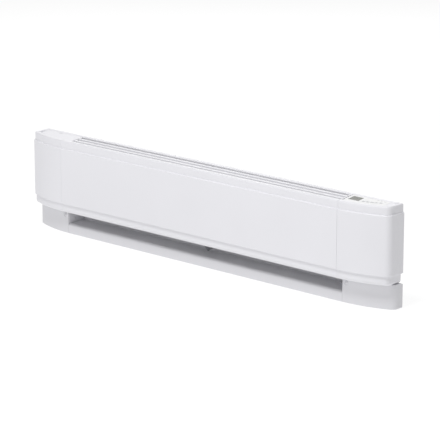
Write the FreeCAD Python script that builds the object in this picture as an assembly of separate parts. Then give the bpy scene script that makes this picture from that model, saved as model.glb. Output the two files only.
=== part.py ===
"""Electric baseboard convector heater, 40 inches long, built as an assembly of separate pieces.

Millimetres. +X runs along the wall to the right, +Z is up, and the room is on the -Y side. Each piece
is drawn with the wall as the plane Y = 0; main() then moves everything by WALL_Y, so that the origin
is the centre of the heater's footprint.
"""

import math
import os

import FreeCAD
import Part

Vector = FreeCAD.Vector
X_AXIS = Vector(1, 0, 0)
Y_AXIS = Vector(0, 1, 0)
Z_AXIS = Vector(0, 0, 1)

# Outline of the casing, seen from above.
HALF_LENGTH = 508.0
DEPTH = 70.0
WALL_Y = DEPTH / 2
END_ARC_RADIUS = 269.0
END_ARC_ANGLE = 23.0
CORNER_RADIUS = 16.0
# Heights of the casing's bands.
HEIGHT = 215.0
PANEL_TOP = 197.6
PANEL_BOTTOM = 72.6
BAND_BOTTOM = 52.6
PANEL_RELIEF = 2.8
TOP_ROUND = 3.5
BAND_ROUND = 6.5
STEP_ROUND = 2.2
LIP_ROUND = 2.2
RIM_DEPTH = 13.5
RIM_LIP = 9.0
BAND_RETURN = 16.0
# Base below the air inlet.
BASE_FRONT = 49.5
BASE_INSET = 0.4
BASE_TOP = 52.2
BASE_FOOT_ROUND = 3.0
BASE_TOP_ROUND = 1.0
BASE_RETURN = 10.0
BASE_TOP_RETURN = 8.0
FLOOR = 23.5
RAIL_TOP_ROUND = 6.0
RAIL_FOOT_ROUND = 2.5
RAIL_RETURN = 35.0
FOOT_DEPTH = 33.0
# Wall thicknesses.
PANEL_SHEET = 1.2
CASING_SHEET = 1.0
MOULDING = 2.0
FOIL_SHEET = 0.5
BAFFLE_SHEET = 0.6
# Gaps between neighbouring pieces. Near ones are pieces that rest on each other.
SEAM_GAP = 0.4
PLATE_GAP = 0.5
CLEAR = 0.1
NEAR = 0.02
# Inner face of the back plate, where what is fixed to it stands.
PLATE_FACE = -CASING_SHEET - CLEAR
# Deck on top: outlet grille, blank cover and control panel.
# It is drawn level, at its back edge's height, and then tilted down towards the room.
DECK_TOP = 214.8
DECK_TILT = 7.5
DECK_PLATE = 1.5
DECK_SKIRT = 6.0
DECK_BACK = 10.0
DECK_BACK_GAP = 1.4
DECK_SEAM = 384.6
DECK_SEAM_GAP = 2.0
DECK_EDGE_ROUND = 0.6
DECK_LIP = 8.0
DECK_LIP_ROUND = 0.7
GRILLE_HALF = 380.5
GRILLE_BACK = 12.5
GRILLE_FRONT = 45.0
BLADE_COUNT = 2
BLADE_TOP_WIDTH = 5.6
BLADE_HEIGHT = 10.0
BLADE_LEAN = -3.0
BLADE_TAPER = 1.2
BLADE_ROUND = 0.8
COMB_X = 128.0
COMB_SHEET = 2.0
COMB_HEIGHT = 6.0
# Centre, length, width and corner radius of the slot for prising the blank cover off.
RELEASE_SLOT_X = 448.0
RELEASE_SLOT_Y = -16.3
RELEASE_SLOT_LENGTH = 14.0
RELEASE_SLOT_WIDTH = 1.4
RELEASE_SLOT_ROUND = 0.6
# Relief at the wall end of each end cap and base cap, for a skirting board's trim.
TRIM_RELIEF_DEPTH = 4.2
TRIM_RELIEF_BOTTOM = 50.0
TRIM_RELIEF_TOP = 71.0
TRIM_RELIEF_LENGTH = 18.0
# Heating element.
ELEMENT_Y = -34.0
ELEMENT_Z = 112.0
SHEATH_RADIUS = 4.0
SHEATH_HOLE = SHEATH_RADIUS + 0.05
SHEATH_HALF = 404.0
PIN_LENGTH = 12.0
PIN_RADIUS = 1.8
COLLAR_LENGTH = 4.0
COLLAR_RADIUS = 3.4
FIN_PITCH = 7.0
FIN_PAIRS = 50
FIN_SIZE = 46.0
FIN_SHEET = 0.5
FIN_ROUND = 4.0
BUSHING_RADIUS = 9.0
BUSHING_NECK = 6.9
BUSHING_LENGTH = 6.0
BUSHING_FLANGE = 2.4
# Brackets that carry the element: their plate's outline, as depths from the wall and heights.
BRACKET_X = 175.0
BRACKET_LOW = 86.0
BRACKET_HIGH = 138.0
BRACKET_FRONT = -42.0
BRACKET_FRONT_LOW = 104.0
BRACKET_FRONT_HIGH = 120.0
BRACKET_FRONT_ROUND = 5.0
BRACKET_HEEL = -8.0
BRACKET_SHOULDER = -28.0
BRACKET_ROUND = 3.0
BRACKET_FOOT = 13.0
# The centre bracket, which also steadies the panel and hangs down in the air inlet.
CENTRE_FOOT_LOW = 74.0
CENTRE_TAIL = ((PLATE_FACE, 31.0), (-20.0, 26.5), (-34.0, 44.0))
CENTRE_TAB_BACK = -46.0
CENTRE_TAB_FRONT = -63.0
CENTRE_TAB_HIGH = 64.0
CENTRE_TAB_LENGTH = 11.0
CENTRE_TAB_WIDTH = 9.0
CENTRE_WAIST = 72.0
# Rivets through the brackets' feet.
RIVET_OFFSET = 7.0
RIVET_HEIGHTS = (92.0, 132.0)
RIVET_RADIUS = 1.6
RIVET_HEAD_RADIUS = 3.0
RIVET_HEAD = 1.27
RIVET_ROUND = 0.8
# High-limit cutout and its sensing tube.
CAPILLARY_Z = 142.0
CAPILLARY_RADIUS = 1.2
CAPILLARY_START = -372.0
CLIP_HALF = 3.0
CLIP_WALL = 1.0
CLIP_BACK = 7.0
CLIP_TOP = 146.0
LIMIT_END = 420.0
LIMIT_HALF = 9.0
LIMIT_LOW = 134.0
LIMIT_HIGH = 150.0
LIMIT_ROUND = 1.5
SPADE_LENGTH = 7.0
SPADE_HALF = 3.1
SPADE_SHEET = 0.8
SPADE_HEIGHTS = (138.0, 146.0)
# Heat shields: (distance from the shield's plane, height) of each bend.
REFLECTOR_HALF = 382.0
REFLECTOR_Y = -1.7
REFLECTOR_PATH = ((0, 62.0), (0, 67.0), (-3.4, 70.0), (-3.4, 184.0), (0, 187.0), (0, 192.0))
REFLECTOR_ROUND = 1.0
BAFFLE_Y = -63.5
BAFFLE_PATH = ((8.0, 72.0), (0, 78.0), (0, 186.0), (4.0, 194.0))
BAFFLE_ROUND = 3.0
# Room-air sensor in the inlet.
SENSOR_Y = -30.0
SENSOR_Z = 34.0
SENSOR_TIP = 376.0
SENSOR_RADIUS = 2.4
SENSOR_ROUND = 2.0
# Bulkheads, which close the air passage at both ends, and their flanges and tabs.
BULKHEAD_X = 392.1
BULKHEAD_TOP = 196.0
BULKHEAD_BACK = -1.2
BULKHEAD_FOOT_FRONT = -47.3
BULKHEAD_STEP_FRONT = -62.0
BULKHEAD_FRONT = -65.4
BULKHEAD_FLANGE = 10.0
BULKHEAD_FLANGE_LOW = 66.0
BULKHEAD_DECK_FLANGE = 7.0
BULKHEAD_DECK_BACK = -12.0
BULKHEAD_DECK_FRONT = -55.0
BULKHEAD_HOLE = 7.0
PANEL_TAB_BACK = -52.0
CAP_TAB_LENGTH = 16.0
CAP_TAB_Y = -46.3
CAP_TAB_LOW = 30.0
# Wall fixings and cable entries.
FIXING_X = 203.2
FIXING_LOW_Z = 40.0
FIXING_HIGH_Z = 196.0
FIXING_RADIUS = 3.25
KNOCKOUT_RADIUS = 11.1
KNOCKOUT_X = 450.0
KNOCKOUT_Z = 32.0
KNOCKOUT_Y = -14.5
GROUND_X = -470.0
GROUND_Z = 70.0
GROUND_RADIUS = 1.5
# Terminal block at the left-hand end, and the insulated leads.
TERMINAL_START = -440.0
TERMINAL_END = -410.0
TERMINAL_FRONT = -21.0
TERMINAL_LOW = 88.0
TERMINAL_HIGH = 102.0
TERMINAL_PLACES = (-434.0, -425.0, -416.0)
TERMINAL_WELL = 3.0
TERMINAL_SEAT = -16.0
TERMINAL_GROOVE = 1.2
TERMINAL_GROOVE_Y = -12.0
LEAD_RADIUS = 1.4
SENSOR_LEAD_RADIUS = 0.9
SUPPLY_X = 425.0
SUPPLY_Y = -14.0
SUPPLY_Z = 10.0
RETURN_Y = -11.0
FEED_X = 436.0
SENSOR_LEAD_X = 404.0
SENSOR_LEAD_Y = -18.0
# Screws, and the base caps' fixing points.
SCREW_RADIUS = 1.9
SCREW_HOLE = SCREW_RADIUS + 0.2
SCREW_THREAD_HOLE = SCREW_RADIUS + 0.05
BASE_SCREW_X = 402.5
BASE_SCREW_Z = 43.5
BASE_SCREW_RECESS = 6.5
BASE_SCREW_RECESS_DEPTH = 1.1
PANEL_SCREW_X = 386.5
PANEL_SCREW_Y = -57.0
END_BRACKET_X = 448.0
END_BRACKET_HALF = 8.0
END_BRACKET_FRONT = -53.0
END_BRACKET_FOOT = 24.0
END_SCREW_Y = -50.0
# Control: display, buttons and circuit board.
# Heights here are those of the level drawing, before the deck is tilted.
LCD_X = 406.2
LCD_Y = -26.0
LCD_WIDTH = 26.3
LCD_DEPTH = 19.0
LCD_ROUND = 1.5
LCD_FLANGE = 1.0
LCD_WALL = 0.5
OVERLAY_MARGIN = 1.2
OVERLAY_START = 387.6
OVERLAY_END = 482.0
OVERLAY_SHEET = 0.3
BUTTON_NAMES = ("power", "mode", "cooler", "warmer", "timer")
BUTTON_FIRST_X = 429.5
BUTTON_PITCH = 9.3
BUTTON_INSET = 35.0
BUTTON_WIDTH = 7.0
BUTTON_DEPTH = 4.6
BUTTON_ROUND = 2.0
BUTTON_EDGE = 0.5
BUTTON_FLANGE = 1.8
PLUNGER_RADIUS = 1.8
BUTTON_TOP = DECK_TOP + 0.9
BUTTON_FOOT = DECK_TOP - 7.9
SWITCH_TOP = DECK_TOP - 9.6
SWITCH_SIZE = 6.0
SWITCH_STEM = 1.7
GLASS_TOP = DECK_TOP - 2.8
GLASS_SHEET = 2.2
GLASS_ROUND = 0.4
BOARD_TOP = DECK_TOP - 13.2
BOARD_SHEET = 1.6
BOARD_START = 393.4
BOARD_END = 484.0
BOARD_FRONT = -48.0
BOARD_BACK = -12.0
RELAY_PLACES = (404.0, 446.0)
RELAY_SIZE = (19.0, 16.0, 15.0)
RELAY_FRONT = -40.0
CAPACITOR_X = 474.0
CAPACITOR_Y = -24.0
CAPACITOR_RADIUS = 5.0
CAPACITOR_HEIGHT = 18.0
PART_ROUND = 0.8
STANDOFF_RADIUS = 2.5
STANDOFF_HOLE = 1.3
BOARD_HOLE = 1.5
BOARD_SCREW_RADIUS = 1.2
BOARD_SCREW_LENGTH = 7.0
BOARD_SCREW_HEAD_RADIUS = 2.5
BOARD_SCREW_HEAD = 1.6
STANDOFF_PLACES = ((433.0, -16.0), (478.0, -16.0), (478.0, -33.0), (427.0, -45.0))

SEAM_X = (
    HALF_LENGTH
    - END_ARC_RADIUS * math.sin(math.radians(END_ARC_ANGLE))
    - CORNER_RADIUS * (1 - math.sin(math.radians(END_ARC_ANGLE)))
)
OUT = "parts"


# ---------------------------------------------------------------- helpers


def box(x0, x1, y0, y1, z0, z1):
    """A block between two corners."""
    return Part.makeBox(x1 - x0, y1 - y0, z1 - z0, Vector(x0, y0, z0))


def rod(start, axis, radius, length):
    """A round bar."""
    return Part.makeCylinder(radius, length, start, axis)


def fuse_all(shapes):
    """One solid from several that touch."""
    whole = shapes[0]
    for shape in shapes[1:]:
        whole = whole.fuse(shape)
    return whole.removeSplitter()


def cut_all(shape, tools):
    """The shape with every tool taken away."""
    for tool in tools:
        shape = shape.cut(tool)
    return shape


def mirrored(shape):
    """The same piece at the other end of the heater."""
    return shape.mirror(Vector(0, 0, 0), X_AXIS)


def both_ends(shape):
    return [shape, mirrored(shape)]


def tilted(shape):
    """A shape drawn with the level deck, turned with it about the deck's back edge."""
    shapes = shape if isinstance(shape, list) else [shape]
    turned = [s.rotated(Vector(0, -DECK_BACK, DECK_TOP), X_AXIS, DECK_TILT) for s in shapes]
    return turned if isinstance(shape, list) else turned[0]


def board_underside(y, radius):
    """Height at which an upright lead of that radius meets the tilted board."""
    tilt = math.radians(DECK_TILT)
    depth = DECK_TOP - BOARD_TOP + BOARD_SHEET
    across = y - radius + DECK_BACK - depth * math.sin(tilt)
    return DECK_TOP + across * math.tan(tilt) - depth * math.cos(tilt) - NEAR


def rounded_loop(points, radii):
    """A closed wire through the points, each corner rounded by its radius."""
    corners = []
    for i, corner in enumerate(points):
        if radii[i] <= 0:
            corners.append((corner, None, corner))
            continue
        back = (points[i - 1] - corner).normalize()
        ahead = (points[(i + 1) % len(points)] - corner).normalize()
        half = back.getAngle(ahead) / 2
        reach = radii[i] / math.tan(half)
        middle = (back + ahead).normalize() * (radii[i] / math.sin(half) - radii[i])
        corners.append((corner + back * reach, corner + middle, corner + ahead * reach))
    edges = []
    for i, (start, middle, end) in enumerate(corners):
        if middle is not None:
            edges.append(Part.Arc(start, middle, end).toShape())
        following = corners[(i + 1) % len(corners)][0]
        if end.distanceToPoint(following) > 1e-6:
            edges.append(Part.LineSegment(end, following).toShape())
    return Part.Wire(edges)


def sheet_loop(path, radii, thickness):
    """The closed outline of a bent sheet: path is its outer face, and the sheet lies to the path's right."""
    steps = [(b[0] - a[0], b[1] - a[1]) for a, b in zip(path, path[1:])]
    lengths = [math.hypot(*s) for s in steps]
    normals = [(s[1] / n, -s[0] / n) for s, n in zip(steps, lengths)]
    inner = []
    inner_radii = []
    for i, (u, v) in enumerate(path):
        first = normals[max(i - 1, 0)]
        second = normals[min(i, len(normals) - 1)]
        scale = thickness / (1 + first[0] * second[0] + first[1] * second[1])
        inner.append((u + (first[0] + second[0]) * scale, v + (first[1] + second[1]) * scale))
        turn = first[0] * second[1] - first[1] * second[0]
        change = thickness if turn > 0 else -thickness
        inner_radii.append(max(radii[i] + change, 0) if radii[i] else 0)
    return list(path) + inner[::-1], list(radii) + inner_radii[::-1]


def profile_face(path, radii, thickness, x, front):
    """A bent sheet's cross-section at one X. The path holds (distance behind the front, height)."""
    loop, loop_radii = sheet_loop(path, radii, thickness)
    points = [Vector(x, front + u, v) for u, v in loop]
    return Part.Face(rounded_loop(points, loop_radii))


def extruded(path, radii, thickness, half, front):
    """A bent sheet of constant section, from -half to half along X."""
    return profile_face(path, radii, thickness, -half, front).extrude(Vector(2 * half, 0, 0))


def swept_end(path, radii, thickness, start_x, front):
    """A section carried round the right-hand end: long arc, corner, and back to the wall."""
    face = profile_face(path, radii, thickness, start_x, front)
    arc_centre = Vector(start_x, front + END_ARC_RADIUS, 0)
    pieces = [face.revolve(arc_centre, Z_AXIS, END_ARC_ANGLE)]
    face = face.rotated(arc_centre, Z_AXIS, END_ARC_ANGLE)
    turn = math.radians(END_ARC_ANGLE)
    reach = END_ARC_RADIUS - CORNER_RADIUS
    corner_centre = arc_centre + Vector(math.sin(turn), -math.cos(turn), 0) * reach
    pieces.append(face.revolve(corner_centre, Z_AXIS, 90 - END_ARC_ANGLE))
    face = face.rotated(corner_centre, Z_AXIS, 90 - END_ARC_ANGLE)
    pieces.append(face.extrude(Vector(0, -corner_centre.y, 0)))
    return fuse_all(pieces)


def end_outline(inset, start_x, curve_x, front, back):
    """The face inside the right-hand end's outline, moved inward by inset, from start_x to the end."""
    centre = Vector(curve_x, front + END_ARC_RADIUS, 0)
    turn = math.radians(END_ARC_ANGLE)

    def on_arc(middle, radius, angle):
        return middle + Vector(math.sin(angle), -math.cos(angle), 0) * radius

    corner = on_arc(centre, END_ARC_RADIUS - CORNER_RADIUS, turn)
    long_radius = END_ARC_RADIUS - inset
    short_radius = CORNER_RADIUS - inset
    begin = on_arc(centre, long_radius, 0)
    half_way = on_arc(centre, long_radius, turn / 2)
    join = on_arc(centre, long_radius, turn)
    last = on_arc(corner, short_radius, math.pi / 2)
    corner_mid = on_arc(corner, short_radius, (turn + math.pi / 2) / 2)
    edges = [Part.Arc(begin, half_way, join).toShape(), Part.Arc(join, corner_mid, last).toShape()]
    start = Vector(start_x, front + inset, 0)
    tail = [last, Vector(last.x, back, 0), Vector(start_x, back, 0), start, begin]
    edges += [Part.LineSegment(a, b).toShape() for a, b in zip(tail, tail[1:])]
    return Part.Face(Part.Wire(edges))


def edges_at_height(shape, z):
    """The edges that lie level at a height."""
    return [e for e in shape.Edges if abs(e.CenterOfMass.z - z) < 1e-6]


def screw(point, axis, radius, length, head_radius, head_height):
    """A pan-head screw: point is under the head, and axis runs along the shank."""
    shank = rod(point, axis, radius, length)
    head = rod(point - axis * head_height, axis, head_radius, head_height)
    top = point - axis * head_height
    rim = [e for e in head.Edges if e.Closed and (e.CenterOfMass - top).Length < 1e-6]
    return head.makeFillet(head_height * 0.45, rim).fuse(shank).removeSplitter()


def rounded_plate(centre, width, depth, z0, z1, radius, turn=0.0):
    """An upright prism with a rounded rectangular outline, turned about +Z by turn degrees."""
    half_w = width / 2
    half_d = depth / 2
    signs = ((-1, -1), (1, -1), (1, 1), (-1, 1))
    corners = [Vector(u * half_w, v * half_d, 0) for u, v in signs]
    plate = Part.Face(rounded_loop(corners, [radius] * 4)).extrude(Vector(0, 0, z1 - z0))
    plate = plate.rotated(Vector(0, 0, 0), Z_AXIS, turn)
    return plate.translated(Vector(centre[0], centre[1], z0))


def wire(points, radii, radius):
    """An insulated lead: straight runs joined by arcs, with a round section."""
    edges = []
    start = points[0]
    for i in range(1, len(points) - 1):
        corner = points[i]
        back = (points[i - 1] - corner).normalize()
        ahead = (points[i + 1] - corner).normalize()
        half = back.getAngle(ahead) / 2
        reach = radii[i - 1] / math.tan(half)
        middle = (back + ahead).normalize() * (radii[i - 1] / math.sin(half) - radii[i - 1])
        edges.append(Part.LineSegment(start, corner + back * reach).toShape())
        edges.append(Part.Arc(corner + back * reach, corner + middle, corner + ahead * reach).toShape())
        start = corner + ahead * reach
    edges.append(Part.LineSegment(start, points[-1]).toShape())
    spine = Part.Wire(edges)
    direction = (points[1] - points[0]).normalize()
    section = Part.Wire([Part.Circle(points[0], direction, radius).toShape()])
    return spine.makePipeShell([section], True, False)


# ---------------------------------------------------------------- casing


def casing_profile():
    """Front of the casing: lower band, raised panel, upper band and rolled rim."""
    path = [
        (BAND_RETURN, BAND_BOTTOM),
        (PANEL_RELIEF, BAND_BOTTOM),
        (PANEL_RELIEF, PANEL_BOTTOM),
        (0, PANEL_BOTTOM),
        (0, PANEL_TOP),
        (PANEL_RELIEF, PANEL_TOP),
        (PANEL_RELIEF, HEIGHT),
        (RIM_DEPTH, HEIGHT),
        (RIM_DEPTH, HEIGHT - RIM_LIP),
    ]
    radii = [0, BAND_ROUND, 0, STEP_ROUND, STEP_ROUND, 0, TOP_ROUND, LIP_ROUND, 0]
    return path, radii


def front_panel():
    path, radii = casing_profile()
    panel = extruded(path, radii, PANEL_SHEET, SEAM_X - SEAM_GAP / 2, -DEPTH)
    holes = [
        rod(Vector(x, PANEL_SCREW_Y, BAND_BOTTOM - 1), Z_AXIS, SCREW_HOLE, 4)
        for x in (-PANEL_SCREW_X, PANEL_SCREW_X)
    ]
    return cut_all(panel, holes)


def trim_relief():
    """What is cut away at the wall, so that a skirting trim passes behind the lower band."""
    start = HALF_LENGTH - TRIM_RELIEF_LENGTH
    return box(start, HALF_LENGTH + 1, -TRIM_RELIEF_DEPTH, 1, TRIM_RELIEF_BOTTOM, TRIM_RELIEF_TOP)


def end_cap():
    path, radii = casing_profile()
    start = SEAM_X + SEAM_GAP / 2
    cap = swept_end(path, radii, MOULDING, start, -DEPTH)
    cap = cap.common(box(start, HALF_LENGTH, -DEPTH, 0, 0, HEIGHT + 1))
    hole = rod(Vector(END_BRACKET_X, END_SCREW_Y, BAND_BOTTOM - 1), Z_AXIS, SCREW_HOLE, 5)
    return cut_all(cap, [trim_relief(), hole])


def base_cap():
    """Wiring-compartment cover at the right-hand end of the base."""
    path = [(BASE_RETURN, 0), (0, 0), (0, BASE_TOP), (BASE_TOP_RETURN, BASE_TOP)]
    radii = [0, BASE_FOOT_ROUND, BASE_TOP_ROUND, 0]
    curve_x = SEAM_X - BASE_INSET
    cap = swept_end(path, radii, MOULDING, curve_x, -BASE_FRONT)
    cap = cap.common(box(SEAM_X + SEAM_GAP / 2, HALF_LENGTH, -DEPTH, 0, 0, HEIGHT))
    centre = Vector(BASE_SCREW_X, -BASE_FRONT - 1, BASE_SCREW_Z)
    recess = rod(centre, Y_AXIS, BASE_SCREW_RECESS, 1 + BASE_SCREW_RECESS_DEPTH)
    hole = rod(centre, Y_AXIS, SCREW_HOLE, 1 + 2 * MOULDING)
    inner = HALF_LENGTH - BASE_INSET - MOULDING
    plate_slot = box(inner - BASE_RETURN, inner - CLEAR, PLATE_FACE - CLEAR, 1, -1, MOULDING + 1)
    return cut_all(cap, [trim_relief(), recess, hole, plate_slot])


def base_tray():
    """Floor of the air inlet and the front rail below it, bent from one sheet."""
    path = [(BASE_FRONT - RAIL_RETURN, 0), (0, 0), (0, FLOOR), (BASE_FRONT + PLATE_FACE, FLOOR)]
    radii = [0, RAIL_FOOT_ROUND, RAIL_TOP_ROUND, 0]
    return extruded(path, radii, PANEL_SHEET, SEAM_X - SEAM_GAP / 2, -BASE_FRONT)


def rear_foot(half):
    """Bottom flange of the back plate, which ends inside the base caps."""
    front = -BASE_FRONT + BASE_RETURN + PLATE_GAP
    curve_x = SEAM_X - BASE_INSET
    reach = end_outline(BASE_RETURN + PLATE_GAP, curve_x - 1, curve_x, -BASE_FRONT, 1)
    reach = reach.extrude(Vector(0, 0, CASING_SHEET))
    middle = box(-curve_x, curve_x, front, 1, 0, CASING_SHEET)
    flange = box(-half, half, -FOOT_DEPTH, 0, 0, CASING_SHEET)
    return flange.common(fuse_all([middle] + both_ends(reach)))


def rear_lip(half, shoulder):
    """Top flange of the back plate and its lip, behind the deck."""
    lip_y = -DECK_BACK + DECK_BACK_GAP
    sheet = CASING_SHEET
    top = box(-half, half, lip_y, 0, HEIGHT - sheet, HEIGHT)
    long_edges = [e for e in edges_at_height(top, HEIGHT) if abs(e.CenterOfMass.x) < 1]
    top = top.makeFillet(DECK_LIP_ROUND, long_edges)
    link = box(-half, half, -sheet, 0, shoulder, HEIGHT - sheet)
    lip = box(-half, half, lip_y, lip_y + sheet, HEIGHT - DECK_LIP, HEIGHT - sheet)
    return [top, link, lip]


def rear_casing():
    """Back plate with a bottom flange, a top flange and its lip, wall fixing holes and cable entries."""
    low_half = HALF_LENGTH - BASE_INSET - MOULDING - PLATE_GAP
    high_half = HALF_LENGTH - PANEL_RELIEF - MOULDING - PLATE_GAP
    top_half = HALF_LENGTH - RIM_DEPTH - SEAM_GAP
    shoulder = HEIGHT - RIM_LIP - PLATE_GAP
    split = BASE_TOP + SEAM_GAP / 2
    high_back = box(-high_half, high_half, -CASING_SHEET, 0, split, shoulder)
    low_back = box(-low_half, low_half, -CASING_SHEET, 0, 0, split)
    whole = fuse_all([high_back, low_back, rear_foot(low_half)] + rear_lip(top_half, shoulder))
    holes = both_ends(trim_relief())
    for x in (-FIXING_X, FIXING_X):
        for z in (FIXING_LOW_Z, FIXING_HIGH_Z):
            holes.append(rod(Vector(x, -5, z), Y_AXIS, FIXING_RADIUS, 10))
    for x in (-KNOCKOUT_X, KNOCKOUT_X):
        holes.append(rod(Vector(x, -5, KNOCKOUT_Z), Y_AXIS, KNOCKOUT_RADIUS, 10))
        holes.append(rod(Vector(x, KNOCKOUT_Y, -2), Z_AXIS, KNOCKOUT_RADIUS, 6))
    holes += rivet_holes()
    holes.append(rod(Vector(GROUND_X, -5, GROUND_Z), Y_AXIS, GROUND_RADIUS + 0.05, 10))
    return cut_all(whole, holes)


def knockout_slugs():
    """Blanks still in three of the four cable entries; the left rear one is open."""
    radius = KNOCKOUT_RADIUS - CLEAR
    thickness = CASING_SHEET - 2 * CLEAR
    rear = rod(Vector(KNOCKOUT_X, -CASING_SHEET + CLEAR, KNOCKOUT_Z), Y_AXIS, radius, thickness)
    bottom = rod(Vector(KNOCKOUT_X, KNOCKOUT_Y, CLEAR), Z_AXIS, radius, thickness)
    return [rear, bottom, mirrored(bottom)]


def bulkhead():
    """Partition at the right-hand end of the air passage, with its flanges and tabs."""
    sheet = CASING_SHEET
    outer = BULKHEAD_X + sheet
    foot = FLOOR + 2 * CLEAR
    seat = BAND_BOTTOM + PANEL_SHEET + 2 * CLEAR
    slope = BULKHEAD_STEP_FRONT - BULKHEAD_FRONT
    outline = [
        (BULKHEAD_BACK, foot), (BULKHEAD_FOOT_FRONT, foot), (BULKHEAD_FOOT_FRONT, seat + sheet),
        (BULKHEAD_STEP_FRONT, seat + sheet), (BULKHEAD_FRONT, seat + sheet + slope),
        (BULKHEAD_FRONT, BULKHEAD_TOP), (BULKHEAD_BACK, BULKHEAD_TOP),
    ]
    wall = Part.Face(Part.makePolygon([Vector(BULKHEAD_X, y, z) for y, z in outline + outline[:1]]))
    wall = wall.extrude(Vector(sheet, 0, 0))
    high = BULKHEAD_TOP - sheet
    rear_flange = box(
        outer, outer + BULKHEAD_FLANGE, BULKHEAD_BACK - sheet, BULKHEAD_BACK, BULKHEAD_FLANGE_LOW, high
    )
    inward = BULKHEAD_X - BULKHEAD_DECK_FLANGE
    deck_flange = box(inward, BULKHEAD_X, BULKHEAD_DECK_FRONT, BULKHEAD_DECK_BACK, high, BULKHEAD_TOP)
    panel_tab = box(
        BULKHEAD_X - BULKHEAD_FLANGE, outer, BULKHEAD_STEP_FRONT, PANEL_TAB_BACK, seat, seat + sheet
    )
    cap_tab_high = BASE_TOP - MOULDING - 3 * CLEAR
    cap_tab = box(outer, outer + CAP_TAB_LENGTH, CAP_TAB_Y, CAP_TAB_Y + sheet, CAP_TAB_LOW, cap_tab_high)
    whole = fuse_all([wall, rear_flange, deck_flange, panel_tab, cap_tab])
    before = BULKHEAD_X - 1
    through = sheet + 2
    holes = [
        rod(Vector(before, ELEMENT_Y, ELEMENT_Z), X_AXIS, BULKHEAD_HOLE, through),
        rod(Vector(before, ELEMENT_Y, CAPILLARY_Z), X_AXIS, CAPILLARY_RADIUS + 0.8, through),
        rod(Vector(before, SENSOR_Y, SENSOR_Z), X_AXIS, SENSOR_LEAD_RADIUS + 0.6, through),
        rod(Vector(PANEL_SCREW_X, PANEL_SCREW_Y, seat - 1), Z_AXIS, SCREW_THREAD_HOLE, through),
        rod(Vector(BASE_SCREW_X, CAP_TAB_Y - 1, BASE_SCREW_Z), Y_AXIS, SCREW_THREAD_HOLE, through),
    ]
    return cut_all(whole, holes)


def end_bracket():
    """Folded strip from the back plate to the end cap's lower flange, at the right-hand end."""
    start = END_BRACKET_X - END_BRACKET_HALF
    end = END_BRACKET_X + END_BRACKET_HALF
    low = BAND_BOTTOM + MOULDING + CLEAR
    arm = box(start, end, END_BRACKET_FRONT, BULKHEAD_BACK, low, low + PANEL_SHEET)
    foot = box(start, end, BULKHEAD_BACK - PANEL_SHEET, BULKHEAD_BACK, low, low + END_BRACKET_FOOT)
    hole = rod(Vector(END_BRACKET_X, END_SCREW_Y, low - 1), Z_AXIS, SCREW_THREAD_HOLE, PANEL_SHEET + 2)
    return fuse_all([arm, foot]).cut(hole)


# ---------------------------------------------------------------- deck on top


def grille_frame():
    """Steel frame of the air outlet: four flanged rails that meet at the ends of one long opening."""
    half = DECK_SEAM - DECK_SEAM_GAP / 2
    front = -DEPTH + RIM_DEPTH + SEAM_GAP
    sheet = DECK_PLATE
    low = DECK_TOP - DECK_SKIRT - sheet
    block = box(-half, half, front, -DECK_BACK, low, DECK_TOP)
    block = block.makeFillet(DECK_EDGE_ROUND, edges_at_height(block, DECK_TOP))
    hollow = box(-half + sheet, half - sheet, front + sheet, -DECK_BACK - sheet, low - 1, DECK_TOP - sheet)
    opening = box(-GRILLE_HALF, GRILLE_HALF, -GRILLE_FRONT, -GRILLE_BACK, low - 1, DECK_TOP + 1)
    frame = cut_all(block, [hollow, opening])
    end_rail = frame.common(box(GRILLE_HALF, half, front, -DECK_BACK, low, DECK_TOP))
    front_rail = frame.common(box(-GRILLE_HALF, GRILLE_HALF, front, -GRILLE_FRONT, low, DECK_TOP))
    back_rail = frame.common(box(-GRILLE_HALF, GRILLE_HALF, -GRILLE_BACK, -DECK_BACK, low, DECK_TOP))
    return [front_rail, back_rail] + both_ends(end_rail)


def louvre_blades():
    """Long bars that divide the outlet into equal slots, each bar's foot nearer the room than its top."""
    slot = (GRILLE_FRONT - GRILLE_BACK - BLADE_COUNT * BLADE_TOP_WIDTH) / (BLADE_COUNT + 1)
    half = GRILLE_HALF - CLEAR
    low = DECK_TOP - BLADE_HEIGHT
    blades = []
    for i in range(BLADE_COUNT):
        front = -GRILLE_FRONT + slot * (i + 1) + BLADE_TOP_WIDTH * i
        back = front + BLADE_TOP_WIDTH
        outline = [
            Vector(-half, front, DECK_TOP),
            Vector(-half, back, DECK_TOP),
            Vector(-half, back + BLADE_LEAN - BLADE_TAPER, low),
            Vector(-half, front + BLADE_LEAN, low),
        ]
        face = Part.Face(rounded_loop(outline, [BLADE_ROUND, BLADE_ROUND, 0, 0]))
        blades.append(face.extrude(Vector(2 * half, 0, 0)))
    return blades


def blade_combs():
    """Cross strips that carry the blades."""
    high = DECK_TOP - BLADE_HEIGHT - NEAR
    front = -DEPTH + RIM_DEPTH + SEAM_GAP + DECK_PLATE + CLEAR
    back = -DECK_BACK - DECK_PLATE - CLEAR
    start = COMB_X - COMB_SHEET / 2
    return both_ends(box(start, start + COMB_SHEET, front, back, high - COMB_HEIGHT, high))


def deck_cover():
    """Plain deck plate at the right-hand end, with a skirt below its edge."""
    start = DECK_SEAM + DECK_SEAM_GAP / 2
    curve_x = SEAM_X + SEAM_GAP / 2
    inset = RIM_DEPTH + SEAM_GAP
    sheet = DECK_PLATE
    low = DECK_TOP - DECK_SKIRT - sheet
    outside = end_outline(inset, start, curve_x, -DEPTH, -DECK_BACK)
    inside = end_outline(inset + sheet, start + sheet, curve_x, -DEPTH, -DECK_BACK - sheet)
    plate = outside.extrude(Vector(0, 0, DECK_TOP - low)).translated(Vector(0, 0, low))
    plate = plate.makeFillet(DECK_EDGE_ROUND, edges_at_height(plate, DECK_TOP))
    hollow = inside.extrude(Vector(0, 0, DECK_SKIRT + 1)).translated(Vector(0, 0, low - 1))
    return plate.cut(hollow)


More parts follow.
